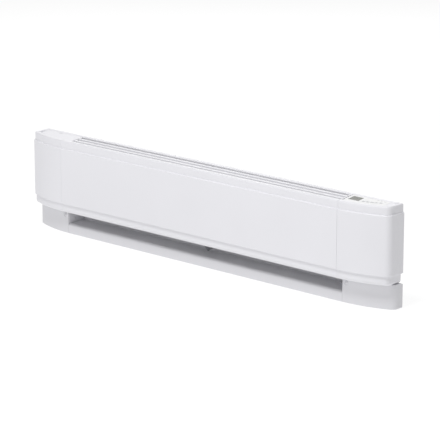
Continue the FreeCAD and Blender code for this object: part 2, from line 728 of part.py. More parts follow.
def left_deck_cover():
    """The plain deck plate at the left-hand end, with a slot for prising it off."""
    centre = (RELEASE_SLOT_X, RELEASE_SLOT_Y)
    size = (RELEASE_SLOT_LENGTH, RELEASE_SLOT_WIDTH)
    slot = rounded_plate(centre, *size, DECK_TOP - DECK_PLATE - 1, DECK_TOP + 1, RELEASE_SLOT_ROUND)
    return mirrored(deck_cover().cut(slot))


def button_places():
    """Centre and turn of each button: a row that follows the curved front edge."""
    radius = END_ARC_RADIUS - BUTTON_INSET
    places = []
    for i in range(len(BUTTON_NAMES)):
        across = BUTTON_FIRST_X + BUTTON_PITCH * i - SEAM_X
        turn = math.asin(across / radius)
        y = -DEPTH + END_ARC_RADIUS - radius * math.cos(turn)
        places.append((SEAM_X + across, y, math.degrees(turn)))
    return places


def control_holes(gap, low, high):
    """Tools that open a plate for the display and the buttons, with a gap round each."""
    size = (LCD_WIDTH + 2 * gap, LCD_DEPTH + 2 * gap)
    tools = [rounded_plate((LCD_X, LCD_Y), *size, low, high, LCD_ROUND + gap)]
    size = (BUTTON_WIDTH + 2 * gap, BUTTON_DEPTH + 2 * gap)
    for x, y, turn in button_places():
        tools.append(rounded_plate((x, y), *size, low, high, BUTTON_ROUND, turn))
    return tools


def control_panel():
    """The right-hand deck plate, with the display's window, button holes and board posts."""
    panel = cut_all(deck_cover(), control_holes(2 * CLEAR, DECK_TOP - DECK_PLATE - 1, DECK_TOP + 1))
    height = DECK_TOP - DECK_PLATE - BOARD_TOP
    posts = []
    for x, y in STANDOFF_PLACES:
        post = rod(Vector(x, y, BOARD_TOP + NEAR), Z_AXIS, STANDOFF_RADIUS, height)
        posts.append(post.cut(rod(Vector(x, y, BOARD_TOP - 1), Z_AXIS, STANDOFF_HOLE, BOARD_SCREW_LENGTH)))
    return fuse_all([panel] + posts)


def control_overlay():
    """Thin printed film on the control panel, with its holes for the display and the buttons."""
    inset = RIM_DEPTH + SEAM_GAP + OVERLAY_MARGIN
    low = DECK_TOP + NEAR / 2
    back = -DECK_BACK - OVERLAY_MARGIN
    shape = end_outline(inset, OVERLAY_START, SEAM_X + SEAM_GAP / 2, -DEPTH, back)
    film = shape.extrude(Vector(0, 0, OVERLAY_SHEET)).translated(Vector(0, 0, low))
    film = film.common(box(OVERLAY_START, OVERLAY_END, -DEPTH, 0, low - 1, low + 1))
    return cut_all(film, control_holes(3 * CLEAR, low - 1, low + 1))


def lcd_window():
    """Clear cover of the display, held by a flange under the control panel."""
    under = DECK_TOP - DECK_PLATE - CLEAR
    window = rounded_plate((LCD_X, LCD_Y), LCD_WIDTH, LCD_DEPTH, under, DECK_TOP, LCD_ROUND)
    size = (LCD_WIDTH + 2 * LCD_FLANGE, LCD_DEPTH + 2 * LCD_FLANGE)
    flange = rounded_plate((LCD_X, LCD_Y), *size, under - LCD_FLANGE, under, LCD_ROUND)
    return window.fuse(flange).removeSplitter()


def lcd_glass():
    size = (LCD_WIDTH + LCD_FLANGE, LCD_DEPTH + 2 * LCD_FLANGE)
    return rounded_plate((LCD_X, LCD_Y), *size, GLASS_TOP - GLASS_SHEET, GLASS_TOP, GLASS_ROUND)


def lcd_frame():
    """Backlight block that carries the display glass above the board."""
    half_width = (LCD_WIDTH + LCD_FLANGE) / 2 + CLEAR / 2
    half_depth = LCD_DEPTH / 2 + LCD_FLANGE + CLEAR / 2
    wall = LCD_WALL
    block = box(
        LCD_X - half_width - wall, LCD_X + half_width + wall,
        LCD_Y - half_depth - wall, LCD_Y + half_depth + wall, BOARD_TOP + NEAR, GLASS_TOP - 1,
    )
    seat = GLASS_TOP - GLASS_SHEET - CLEAR / 2
    return block.cut(
        box(LCD_X - half_width, LCD_X + half_width, LCD_Y - half_depth, LCD_Y + half_depth, seat, GLASS_TOP)
    )


def button(place):
    """Push button with a retaining flange and a plunger above its switch."""
    x, y, turn = place
    under = DECK_TOP - DECK_PLATE - 2 * CLEAR
    foot = under - LCD_FLANGE
    cap = rounded_plate((x, y), BUTTON_WIDTH, BUTTON_DEPTH, under, BUTTON_TOP, BUTTON_ROUND, turn)
    cap = cap.makeFillet(BUTTON_EDGE, edges_at_height(cap, BUTTON_TOP))
    size = (BUTTON_WIDTH + BUTTON_FLANGE, BUTTON_DEPTH + BUTTON_FLANGE)
    flange = rounded_plate((x, y), *size, foot, under, BUTTON_ROUND, turn)
    plunger = rod(Vector(x, y, BUTTON_FOOT), Z_AXIS, PLUNGER_RADIUS, foot - BUTTON_FOOT)
    return fuse_all([cap, flange, plunger])


def tact_switches():
    """One small switch on the board under each button."""
    size = (SWITCH_SIZE, SWITCH_SIZE)
    switches = []
    for x, y, turn in button_places():
        body = rounded_plate((x, y), *size, BOARD_TOP + NEAR, SWITCH_TOP, GLASS_ROUND, turn)
        switches.append(body.fuse(rod(Vector(x, y, SWITCH_TOP), Z_AXIS, SWITCH_STEM, 1)).removeSplitter())
    return switches


def control_board():
    low = BOARD_TOP - BOARD_SHEET
    board = box(BOARD_START, BOARD_END, BOARD_FRONT, BOARD_BACK, low, BOARD_TOP)
    holes = [rod(Vector(x, y, low - 1), Z_AXIS, BOARD_HOLE, BOARD_SHEET + 2) for x, y in STANDOFF_PLACES]
    return cut_all(board, holes)


def board_screws():
    under = BOARD_TOP - BOARD_SHEET - NEAR
    shank = (BOARD_SCREW_RADIUS, BOARD_SCREW_LENGTH)
    head = (BOARD_SCREW_HEAD_RADIUS, BOARD_SCREW_HEAD)
    return [screw(Vector(x, y, under), Z_AXIS, *shank, *head) for x, y in STANDOFF_PLACES]


def power_relays():
    width, depth, height = RELAY_SIZE
    high = BOARD_TOP - BOARD_SHEET - NEAR
    relays = []
    for x in RELAY_PLACES:
        relay = box(x, x + width, RELAY_FRONT, RELAY_FRONT + depth, high - height, high)
        relays.append(relay.makeFillet(PART_ROUND, relay.Edges))
    return relays


def board_capacitor():
    low = BOARD_TOP - BOARD_SHEET - NEAR - CAPACITOR_HEIGHT
    can = rod(Vector(CAPACITOR_X, CAPACITOR_Y, low), Z_AXIS, CAPACITOR_RADIUS, CAPACITOR_HEIGHT)
    return can.makeFillet(PART_ROUND, [e for e in can.Edges if e.Closed])


# ---------------------------------------------------------------- heating parts


def element_sheath():
    return rod(Vector(-SHEATH_HALF, ELEMENT_Y, ELEMENT_Z), X_AXIS, SHEATH_RADIUS, 2 * SHEATH_HALF)


def element_pins():
    """Terminal pin with its collar at each end of the sheath."""
    start = Vector(SHEATH_HALF, ELEMENT_Y, ELEMENT_Z)
    collar = rod(start, X_AXIS, COLLAR_RADIUS, COLLAR_LENGTH)
    pin = rod(start, X_AXIS, PIN_RADIUS, PIN_LENGTH)
    return both_ends(collar.fuse(pin).removeSplitter())


def element_fins():
    """Square aluminium fins along the sheath, each with its corners rounded."""
    half = FIN_SIZE / 2
    corners = [(-half, -half), (half, -half), (half, half), (-half, half)]
    points = [Vector(0, ELEMENT_Y + u, ELEMENT_Z + v) for u, v in corners]
    fin = Part.Face(rounded_loop(points, [FIN_ROUND] * 4)).extrude(Vector(FIN_SHEET, 0, 0))
    fin = fin.cut(rod(Vector(-1, ELEMENT_Y, ELEMENT_Z), X_AXIS, SHEATH_HOLE, FIN_SHEET + 2))
    fins = []
    for i in range(FIN_PAIRS):
        x = FIN_PITCH * (i + 0.5) - FIN_SHEET / 2
        fins.append(fin.translated(Vector(x, 0, 0)))
        fins.append(fin.translated(Vector(-x - FIN_SHEET, 0, 0)))
    return fins


def element_bushings():
    """Grommet round the sheath where it passes each bulkhead."""
    centre = Vector(BULKHEAD_X + CASING_SHEET / 2, ELEMENT_Y, ELEMENT_Z)
    start = centre - X_AXIS * (BUSHING_LENGTH / 2)
    neck = rod(start, X_AXIS, BUSHING_NECK, BUSHING_LENGTH)
    inner = rod(start, X_AXIS, BUSHING_RADIUS, BUSHING_FLANGE)
    outer = rod(start + X_AXIS * (BUSHING_LENGTH - BUSHING_FLANGE), X_AXIS, BUSHING_RADIUS, BUSHING_FLANGE)
    hole = rod(start - X_AXIS, X_AXIS, SHEATH_HOLE, BUSHING_LENGTH + 2)
    return both_ends(fuse_all([neck, inner, outer]).cut(hole))


def rivet_places():
    """Where rivets join the element brackets and the centre bracket to the back plate."""
    places = []
    for x in (-BRACKET_X, 0.0, BRACKET_X):
        for z in RIVET_HEIGHTS:
            places.append(Vector(x + RIVET_OFFSET, -CASING_SHEET, z))
    return places


def rivet_holes():
    return [rod(place + Vector(0, -5, 0), Y_AXIS, RIVET_RADIUS + 0.05, 10) for place in rivet_places()]


def bracket_with_foot(outline, radii, x, foot_low):
    """A sheet web across the passage with a foot bent along the back plate."""
    half = CASING_SHEET / 2
    web = Part.Face(rounded_loop([Vector(x - half, y, z) for y, z in outline], radii))
    web = web.extrude(Vector(CASING_SHEET, 0, 0))
    foot = box(x - half, x + BRACKET_FOOT, PLATE_FACE - CASING_SHEET, PLATE_FACE, foot_low, BRACKET_HIGH)
    hole = rod(Vector(x - 5, ELEMENT_Y, ELEMENT_Z), X_AXIS, SHEATH_HOLE + 0.05, 10)
    return cut_all(fuse_all([web, foot]), [hole] + rivet_holes())


def bracket_head():
    """The outline that both kinds of bracket share, from the element's front round to the back plate."""
    outline = [
        (BRACKET_FRONT, BRACKET_FRONT_LOW), (BRACKET_FRONT, BRACKET_FRONT_HIGH),
        (BRACKET_SHOULDER, BRACKET_HIGH), (PLATE_FACE, BRACKET_HIGH),
    ]
    return outline, [BRACKET_FRONT_ROUND, BRACKET_FRONT_ROUND, BRACKET_ROUND, 0]


def element_brackets():
    head, head_radii = bracket_head()
    outline = [(PLATE_FACE, BRACKET_LOW), (BRACKET_HEEL, BRACKET_LOW)] + head
    radii = [0, BRACKET_ROUND] + head_radii
    return [bracket_with_foot(outline, radii, x, BRACKET_LOW) for x in (-BRACKET_X, BRACKET_X)]


def centre_bracket():
    """Middle support: carries the element, and its lower lobe hangs in the air inlet."""
    tab_top = BAND_BOTTOM + PANEL_SHEET + 1.8
    head, head_radii = bracket_head()
    outline = list(CENTRE_TAIL) + [
        (CENTRE_TAB_BACK, tab_top), (CENTRE_TAB_FRONT, tab_top),
        (CENTRE_TAB_FRONT, CENTRE_TAB_HIGH), (CENTRE_TAB_BACK, CENTRE_WAIST),
    ] + head
    radii = [0, 4, 6, 4, 0, 2, 6] + head_radii
    body = bracket_with_foot(outline, radii, 0.0, CENTRE_FOOT_LOW)
    end = CENTRE_TAB_FRONT + CENTRE_TAB_LENGTH
    tab = box(-CENTRE_TAB_WIDTH, CASING_SHEET / 2, CENTRE_TAB_FRONT, end, tab_top - CASING_SHEET, tab_top)
    return fuse_all([body, tab])


def bracket_rivets():
    """Domed rivets through the bracket feet, flush at the back."""
    under = Vector(0, PLATE_FACE, 0)
    rivets = []
    for place in rivet_places():
        shank = rod(place + under, Y_AXIS, RIVET_RADIUS, 2 * CASING_SHEET)
        head = rod(place + under - Y_AXIS * (RIVET_HEAD + NEAR), Y_AXIS, RIVET_HEAD_RADIUS, RIVET_HEAD)
        front = min(e.CenterOfMass.y for e in head.Edges if e.Closed)
        outer = [e for e in head.Edges if e.Closed and e.CenterOfMass.y - front < 1e-6]
        neck = rod(place + under - Y_AXIS * (2 * NEAR), Y_AXIS, RIVET_RADIUS, 3 * NEAR)
        rivets.append(fuse_all([head.makeFillet(RIVET_ROUND, outer), neck, shank]))
    return rivets


def limit_capillary():
    """Sensing tube of the high-limit cutout, above the whole length of the fins."""
    end = BULKHEAD_X + CASING_SHEET + CLEAR
    start = Vector(CAPILLARY_START, ELEMENT_Y, CAPILLARY_Z)
    return rod(start, X_AXIS, CAPILLARY_RADIUS, end - CAPILLARY_START)


def capillary_clips():
    """Clips that hold the sensing tube on top of the brackets."""
    half = CLIP_HALF
    middle = ELEMENT_Y + CLIP_WALL / 2
    mouth_half = CAPILLARY_RADIUS + 2 * CLEAR
    clips = []
    for x in (-BRACKET_X, 0.0, BRACKET_X):
        near, far = ELEMENT_Y - CLIP_WALL, ELEMENT_Y + CLIP_BACK
        block = box(x - half, x + half, near, far, BRACKET_HIGH + NEAR, CLIP_TOP)
        grip = rod(Vector(x - half - 1, middle, CAPILLARY_Z), X_AXIS, CAPILLARY_RADIUS + 0.6, 2 * half + 2)
        low, high = CAPILLARY_Z - mouth_half, CAPILLARY_Z + mouth_half
        mouth = box(x - half - 1, x + half + 1, middle - CLIP_BACK, middle, low, high)
        clips.append(cut_all(block, [grip, mouth]))
    return clips


def limit_switch():
    """High-limit cutout with two spade terminals, on the right-hand bulkhead."""
    start = BULKHEAD_X + CASING_SHEET + CLEAR
    body = box(start, LIMIT_END, ELEMENT_Y - LIMIT_HALF, ELEMENT_Y + LIMIT_HALF, LIMIT_LOW, LIMIT_HIGH)
    body = body.makeFillet(LIMIT_ROUND, [e for e in body.Edges if abs(e.CenterOfMass.x - LIMIT_END) < 1e-6])
    low_y, high_y = ELEMENT_Y - SPADE_HALF, ELEMENT_Y + SPADE_HALF
    end = LIMIT_END + SPADE_LENGTH
    half = SPADE_SHEET / 2
    spades = [box(LIMIT_END - 1, end, low_y, high_y, z - half, z + half) for z in SPADE_HEIGHTS]
    return fuse_all([body] + spades)


def rear_reflector():
    """Bright sheet that keeps the element's heat off the back plate, with a window for each bracket."""
    radii = [0] + [REFLECTOR_ROUND] * (len(REFLECTOR_PATH) - 2) + [0]
    sheet = extruded(list(REFLECTOR_PATH), radii, FOIL_SHEET, REFLECTOR_HALF, REFLECTOR_Y)
    high = BRACKET_HIGH + 4
    windows = [box(x - 9, x + BRACKET_FOOT + 4, -20, 1, 60, high) for x in (-BRACKET_X, 0.0, BRACKET_X)]
    return cut_all(sheet, windows)


def front_baffle():
    """Inner shield between the fins and the front panel, open round the centre bracket's tab."""
    radii = [0, BAFFLE_ROUND, BAFFLE_ROUND, 0]
    sheet = extruded(list(BAFFLE_PATH), radii, BAFFLE_SHEET, BULKHEAD_X - PLATE_GAP, BAFFLE_Y)
    return sheet.cut(box(-CENTRE_TAB_WIDTH - 3, 6, -64, -50, 50, 75))


def temperature_sensor():
    """Room-air sensor in the air inlet, held by the right-hand bulkhead."""
    start = Vector(SENSOR_TIP, SENSOR_Y, SENSOR_Z)
    tip = rod(start, X_AXIS, SENSOR_RADIUS, BULKHEAD_X - CLEAR - SENSOR_TIP)
    rim = [e for e in tip.Edges if e.Closed and e.CenterOfMass.x < SENSOR_TIP + 1]
    return tip.makeFillet(SENSOR_ROUND, rim)


# ---------------------------------------------------------------- wiring


def terminal_block():
    middle = (TERMINAL_LOW + TERMINAL_HIGH) / 2
    low, high = TERMINAL_LOW, TERMINAL_HIGH
    block = box(TERMINAL_START, TERMINAL_END, TERMINAL_FRONT, BULKHEAD_BACK, low, high)
    depth = TERMINAL_SEAT - TERMINAL_FRONT + 3
    mouths = [Vector(x, TERMINAL_FRONT - 1, middle) for x in TERMINAL_PLACES]
    wells = [rod(mouth, Y_AXIS, TERMINAL_WELL, depth) for mouth in mouths]
    grooves = []
    for here, there in zip(TERMINAL_PLACES, TERMINAL_PLACES[1:]):
        start = (here + there - TERMINAL_GROOVE) / 2
        end = start + TERMINAL_GROOVE
        grooves.append(box(start, end, TERMINAL_FRONT - 1, TERMINAL_GROOVE_Y, low - 1, high + 1))
    return cut_all(block, wells + grooves)


def terminal_screws():
    z = (TERMINAL_LOW + TERMINAL_HIGH) / 2
    return [screw(Vector(x, TERMINAL_SEAT, z), Y_AXIS, 1.4, 1.9, 2.7, 1.6) for x in TERMINAL_PLACES]


def ground_screw():
    return screw(Vector(GROUND_X, -CASING_SHEET - NEAR, GROUND_Z), Y_AXIS, GROUND_RADIUS, 0.9, 3.5, 2.0)


def supply_lead():
    """From the terminal block through the raceway under the floor to the circuit board."""
    y = SUPPLY_Y
    high = board_underside(y, LEAD_RADIUS)
    points = [
        Vector(-SUPPLY_X, y, TERMINAL_LOW - CLEAR / 2),
        Vector(-SUPPLY_X, y, SUPPLY_Z),
        Vector(SUPPLY_X, y, SUPPLY_Z),
        Vector(SUPPLY_X, y, high),
    ]
    return wire(points, [9.0, 9.0], LEAD_RADIUS)


def element_return_lead():
    """From the element's left pin to the terminal block."""
    x = TERMINAL_PLACES[0]
    points = [
        Vector(-SHEATH_HALF - PIN_LENGTH - CLEAR / 2, ELEMENT_Y, ELEMENT_Z),
        Vector(x, ELEMENT_Y, ELEMENT_Z),
        Vector(x, RETURN_Y, ELEMENT_Z),
        Vector(x, RETURN_Y, TERMINAL_HIGH + CLEAR / 2),
    ]
    return wire(points, [6.0, 5.0], LEAD_RADIUS)


def element_feed_lead():
    """From the limit switch to the element's right pin."""
    z = SPADE_HEIGHTS[0]
    points = [
        Vector(SHEATH_HALF + PIN_LENGTH + CLEAR / 2, ELEMENT_Y, ELEMENT_Z),
        Vector(FEED_X, ELEMENT_Y, ELEMENT_Z),
        Vector(FEED_X, ELEMENT_Y, z),
        Vector(LIMIT_END + SPADE_LENGTH + CLEAR / 2, ELEMENT_Y, z),
    ]
    return wire(points, [8.0, 6.0], LEAD_RADIUS)


def limit_lead():
    """From the circuit board to the limit switch."""
    z = SPADE_HEIGHTS[1]
    points = [
        Vector(LIMIT_END + SPADE_LENGTH + CLEAR / 2, ELEMENT_Y, z),
        Vector(FEED_X, ELEMENT_Y, z),
        Vector(FEED_X, ELEMENT_Y, board_underside(ELEMENT_Y, LEAD_RADIUS)),
    ]
    return wire(points, [6.0], LEAD_RADIUS)


def sensor_lead():
    """Thin lead from the room-air sensor to the circuit board."""
    x, y = SENSOR_LEAD_X, SENSOR_LEAD_Y
    points = [
        Vector(BULKHEAD_X - CLEAR / 2, SENSOR_Y, SENSOR_Z),
        Vector(x, SENSOR_Y, SENSOR_Z),
        Vector(x, y, SENSOR_Z),
        Vector(x, y, board_underside(y, SENSOR_LEAD_RADIUS)),
    ]
    return wire(points, [5.0, 5.0], SENSOR_LEAD_RADIUS)


# ---------------------------------------------------------------- fasteners


def front_panel_screws():
    points = [Vector(x, PANEL_SCREW_Y, BAND_BOTTOM - NEAR) for x in (-PANEL_SCREW_X, PANEL_SCREW_X)]
    return [screw(p, Z_AXIS, SCREW_RADIUS, 6.0, 3.6, 2.2) for p in points]


def end_cap_screws():
    point = Vector(END_BRACKET_X, END_SCREW_Y, BAND_BOTTOM - NEAR)
    return both_ends(screw(point, Z_AXIS, SCREW_RADIUS, 7.0, 3.0, 0.4))


def base_cap_screws():
    """Screws that hold the wiring covers, each in a round recess."""
    point = Vector(BASE_SCREW_X, -BASE_FRONT + BASE_SCREW_RECESS_DEPTH - NEAR, BASE_SCREW_Z)
    return both_ends(screw(point, Y_AXIS, SCREW_RADIUS, 7.0, 3.8, 2.0))


def nodes():
    """Every sub-part: its node name and its solid or solids."""
    right_end = end_cap()
    right_base = base_cap()
    right_bulkhead = bulkhead()
    right_bracket = end_bracket()
    made = {
        "front_panel": front_panel(),
        "right_end_cap": right_end,
        "left_end_cap": mirrored(right_end),
        "right_base_cap": right_base,
        "left_base_cap": mirrored(right_base),
        "base_tray": base_tray(),
        "rear_casing": rear_casing(),
        "knockout_slugs": knockout_slugs(),
        "right_bulkhead": right_bulkhead,
        "left_bulkhead": mirrored(right_bulkhead),
        "right_end_bracket": right_bracket,
        "left_end_bracket": mirrored(right_bracket),
        "grille_frame": tilted(grille_frame()),
        "louvre_blades": tilted(louvre_blades()),
        "blade_combs": tilted(blade_combs()),
        "left_deck_cover": tilted(left_deck_cover()),
        "control_panel": tilted(control_panel()),
        "control_overlay": tilted(control_overlay()),
        "lcd_window": tilted(lcd_window()),
        "lcd_glass": tilted(lcd_glass()),
        "lcd_frame": tilted(lcd_frame()),
        "tact_switches": tilted(tact_switches()),
        "control_board": tilted(control_board()),
        "board_screws": tilted(board_screws()),
        "power_relays": tilted(power_relays()),
        "board_capacitor": tilted(board_capacitor()),
        "element_sheath": element_sheath(),
        "element_pins": element_pins(),
        "element_fins": element_fins(),
        "element_bushings": element_bushings(),
        "element_brackets": element_brackets(),
        "centre_bracket": centre_bracket(),
        "bracket_rivets": bracket_rivets(),
        "limit_capillary": limit_capillary(),
        "capillary_clips": capillary_clips(),
        "limit_switch": limit_switch(),
        "rear_reflector": rear_reflector(),
        "front_baffle": front_baffle(),
        "temperature_sensor": temperature_sensor(),
        "terminal_block": terminal_block(),
        "terminal_screws": terminal_screws(),
        "ground_screw": ground_screw(),
        "supply_lead": supply_lead(),
        "element_return_lead": element_return_lead(),
        "element_feed_lead": element_feed_lead(),
        "limit_lead": limit_lead(),
        "sensor_lead": sensor_lead(),
        "front_panel_screws": front_panel_screws(),
        "end_cap_screws": end_cap_screws(),
        "base_cap_screws": base_cap_screws(),
    }
    for name, place in zip(BUTTON_NAMES, button_places()):
        made["button_" + name] = tilted(button(place))
    return made


def main():
    os.makedirs(OUT, exist_ok=True)
    for name, shape in nodes().items():
        if isinstance(shape, list):
            shape = Part.makeCompound(shape)
        solids = shape.Solids
        valid = all(s.isValid() and s.Volume > 0 for s in solids)
        volume = sum(s.Volume for s in solids)
        print(f"{name:22s} solids {len(solids):3d} volume {volume:12.1f} valid {valid}")
        placed = Part.makeCompound(solids).translated(Vector(0, WALL_Y, 0))
        placed.exportStep(os.path.join(OUT, name + ".step"))


main()
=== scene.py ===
import math

import bmesh
import bpy
from mathutils import Matrix, Vector


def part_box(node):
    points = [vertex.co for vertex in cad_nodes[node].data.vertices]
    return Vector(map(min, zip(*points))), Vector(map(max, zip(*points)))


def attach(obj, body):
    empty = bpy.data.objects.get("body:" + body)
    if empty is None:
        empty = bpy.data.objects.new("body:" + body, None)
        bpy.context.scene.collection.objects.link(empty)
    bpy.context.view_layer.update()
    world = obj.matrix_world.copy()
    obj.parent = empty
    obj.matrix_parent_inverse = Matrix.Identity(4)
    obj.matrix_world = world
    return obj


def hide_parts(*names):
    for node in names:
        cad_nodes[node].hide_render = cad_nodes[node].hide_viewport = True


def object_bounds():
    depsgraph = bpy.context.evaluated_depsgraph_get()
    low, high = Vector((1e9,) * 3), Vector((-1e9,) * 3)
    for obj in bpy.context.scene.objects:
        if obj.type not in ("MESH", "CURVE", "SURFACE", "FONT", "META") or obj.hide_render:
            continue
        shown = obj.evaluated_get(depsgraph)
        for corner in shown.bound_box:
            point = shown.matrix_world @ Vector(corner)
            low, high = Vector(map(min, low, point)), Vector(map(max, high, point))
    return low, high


# Looks of the electric baseboard heater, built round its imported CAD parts. Metres, in the CAD's frame:
# +X to the right along the wall, +Y towards the wall, +Z up, origin at the centre of the footprint.

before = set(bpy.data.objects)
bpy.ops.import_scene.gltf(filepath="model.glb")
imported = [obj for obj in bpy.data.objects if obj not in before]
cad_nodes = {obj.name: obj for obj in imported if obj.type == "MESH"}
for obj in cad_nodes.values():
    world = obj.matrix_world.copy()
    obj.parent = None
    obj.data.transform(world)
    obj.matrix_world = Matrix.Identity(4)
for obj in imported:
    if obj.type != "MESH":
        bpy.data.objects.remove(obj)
cad_low, cad_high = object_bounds()

BODY = "heater"
MM = 0.001

# ---------------------------------------------------------------- sizes

# Casing, from the frame.
FRONT_Y = cad_low.y
WALL_Y = cad_high.y
HALF_LENGTH = cad_high.x
HEIGHT = cad_high.z
PANEL_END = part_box("front_panel")[1].x
CAP_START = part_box("right_end_cap")[0].x
SEAM_X = (PANEL_END + CAP_START) / 2
BAND_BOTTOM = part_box("front_panel")[0].z
BASE_FRONT_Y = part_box("base_tray")[0].y
BASE_FRONT_DEPTH = WALL_Y - BASE_FRONT_Y
BASE_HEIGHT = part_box("right_base_cap")[1].z
FLOOR_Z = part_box("base_tray")[1].z
# The deck is drawn level, at its back edge's height, and then tilted down towards the room.
DECK_Z = 214.8 * MM
DECK_TILT = math.radians(7.5)
DECK_BACK = 10 * MM
DECK_BACK_GAP = 1.4 * MM
DECK_PLATE = 1.5 * MM
DECK_SKIRT = 6 * MM
DECK_LIP = 8 * MM
DECK_LIP_ROUND = 1.2 * MM
DECK_HALF = 383.6 * MM
# Casing, as in the CAD: outline seen from above, and the bent sheet's section.
END_ARC_RADIUS = 269 * MM
END_ARC_ANGLE = math.radians(23)
CORNER_RADIUS = 16 * MM
BASE_INSET = 0.4 * MM
PANEL_BOTTOM = 72.6 * MM
PANEL_TOP = 197.6 * MM
PANEL_RELIEF = 2.8 * MM
PANEL_SHEET = 1.2 * MM
PANEL_LEDGE = 0.3 * MM
MOULDING = 2 * MM
TOP_ROUND = 3.5 * MM
BAND_ROUND = 6.5 * MM
STEP_ROUND = 2.2 * MM
LOW_STEP_ROUND = 0.9 * MM
LIP_ROUND = 2.2 * MM
RIM_DEPTH = 13.5 * MM
RIM_LIP = 9 * MM
BAND_RETURN = 16 * MM
BASE_RETURN = 10 * MM
BASE_TOP_RETURN = 8 * MM
BASE_FOOT_ROUND = 3 * MM
BASE_TOP_ROUND = 1 * MM
TRIM_RELIEF_DEPTH = 4.2 * MM
TRIM_RELIEF_BOTTOM = 50 * MM
TRIM_RELIEF_TOP = 71 * MM
TRIM_RELIEF_LENGTH = 18 * MM
PLATE_GAP = 0.5 * MM
SEAM_GAP = 0.4 * MM
RAIL_TOP_ROUND = 6 * MM
RAIL_FOOT_ROUND = 2.5 * MM
RAIL_RETURN = 35 * MM
CASING_SHEET = 1 * MM
# The back plate: half its length between the rims, and the height of its shoulders.
TOP_HALF = HALF_LENGTH - RIM_DEPTH - SEAM_GAP
SHOULDER = HEIGHT - RIM_LIP - PLATE_GAP
# Edges where sheets and mouldings end.
EDGE_ROUND = 0.25 * MM
PLATE_EDGE_ROUND = 0.15 * MM
FRAME_EDGE_ROUND = 0.5 * MM
# Screws: the shank is hidden, so one radius serves all of them.
SHANK_RADIUS = 1.9 * MM
SCREW_RECESS_RADIUS = 6.5 * MM
SCREW_RECESS_DEPTH = 1.1 * MM
# Grille.
BLADE_COUNT = 2
BLADE_LEAN = -3 * MM
BLADE_TAPER = 1.2 * MM
BLADE_EDGE_ROUND = 0.8 * MM
BLADE_WIDTH = 5.6 * MM
BLADE_HEIGHT = 10 * MM
GRILLE_HALF = 380.5 * MM
GRILLE_FRONT = 45 * MM
GRILLE_BACK = 12.5 * MM
# The rear rail's inner face, from the opening's back edge. Negative is towards the room.
RAIL_FOLD = -0.3 * MM
# Display and buttons, on the level deck.
LCD_X = 406.2 * MM
LCD_Y = WALL_Y - 26 * MM
OVERLAY_SHEET = 0.31 * MM
BUTTON_FIRST_X = 429.5 * MM
BUTTON_PITCH = 9.3 * MM
BUTTON_INSET = 35 * MM
BUTTON_Z = DECK_Z + 0.9 * MM
BUTTON_KINDS = ("power", "mode", "cooler", "warmer", "timer")
ICON_SIZE = 1.15 * MM
ICON_STROKE = 0.36 * MM
# Printed shapes start this far inside the surface that carries them.
INK_SUNK = 0.01 * MM
# Wall fixings and cable entries in the back plate.
FIXING_X = 203.2 * MM
FIXING_LOW_Z = 40 * MM
FIXING_HIGH_Z = 196 * MM
FIXING_RADIUS = 3.25 * MM
KNOCKOUT_RADIUS = 11.1 * MM
KNOCKOUT_X = 450 * MM
KNOCKOUT_Z = 32 * MM
KNOCKOUT_FROM_WALL = 14.5 * MM
# Cutting tools run this far past the sheets that they cut.
CUT_REACH = 5 * MM
# The bottom flange: its straight part, the overlap of its curved ends, and its distance from the wall plane.
FOOT_HALF = 300 * MM
FOOT_END_START = 290 * MM
FOOT_BACK_GAP = 0.5 * MM
# Steps along straight sheets.
STRAIGHT_STEPS = 24

# Camera: the viewpoint's direction, its distance from the point looked at, and the lens.
CAMERA_AZIMUTH = 42.264
CAMERA_ELEVATION = 14.83
CAMERA_DISTANCE = 5.082
CAMERA_LENS = 196.4
CAMERA_TARGET = Vector((0.01626, WALL_Y, 0.09413))
SENSOR_WIDTH = 36.0
CLIP_END = 100.0
# Studio. The display gamma lifts the picture's middle tones only.
WORLD_STRENGTH = 0.15
DISPLAY_GAMMA = 1.3
LIGHT_TARGET = Vector((0, 0, 0.1))
FLOOR_REACH = 12.0
STAGE_Z = -0.2 * MM


# ---------------------------------------------------------------- materials


def new_material(name):
    """A material with its Principled shader and a function that adds linked nodes."""
    material = bpy.data.materials.new(name)
    material.use_nodes = True
    tree = material.node_tree
    return material, tree, tree.nodes["Principled BSDF"]


def node(tree, kind, inputs=None, **settings):
    """Adds a node: settings are its properties, and inputs maps a socket to a value or another socket."""
    made = tree.nodes.new(kind)
    for key, value in settings.items():
        setattr(made, key, value)
    for key, value in (inputs or {}).items():
        socket = made.inputs[key]
        if isinstance(value, bpy.types.NodeSocket):
            tree.links.new(value, socket)
        else:
            socket.default_value = value
    return made


def place(tree, scale=(1, 1, 1)):
    """The surface's own coordinates in metres, stretched by scale."""
    coordinates = node(tree, "ShaderNodeTexCoord")
    mapping = node(tree, "ShaderNodeMapping", {"Vector": coordinates.outputs["Object"], "Scale": scale})
    return mapping.outputs["Vector"]


def noise(tree, vector, scale, detail=3.0, roughness=0.5):
    inputs = {"Vector": vector, "Scale": scale, "Detail": detail, "Roughness": roughness}
    return node(tree, "ShaderNodeTexNoise", inputs).outputs["Fac"]


def spread(tree, value, low, high, from_low=0.3, from_high=0.7):
    """Maps a texture's middle range onto low to high."""
    made = node(
        tree,
        "ShaderNodeMapRange",
        {"Value": value, "From Min": from_low, "From Max": from_high, "To Min": low, "To Max": high},
    )
    return made.outputs["Result"]


def tint(tree, factor, first, second):
    """A colour between two, by factor."""
    made = node(tree, "ShaderNodeMix", data_type="RGBA")
    tree.links.new(factor, made.inputs["Factor"])
    made.inputs["A"].default_value = (*first, 1)
    made.inputs["B"].default_value = (*second, 1)
    return made.outputs["Result"]


def scaled(colour, factor):
    return tuple(min(channel * factor, 1.0) for channel in colour)


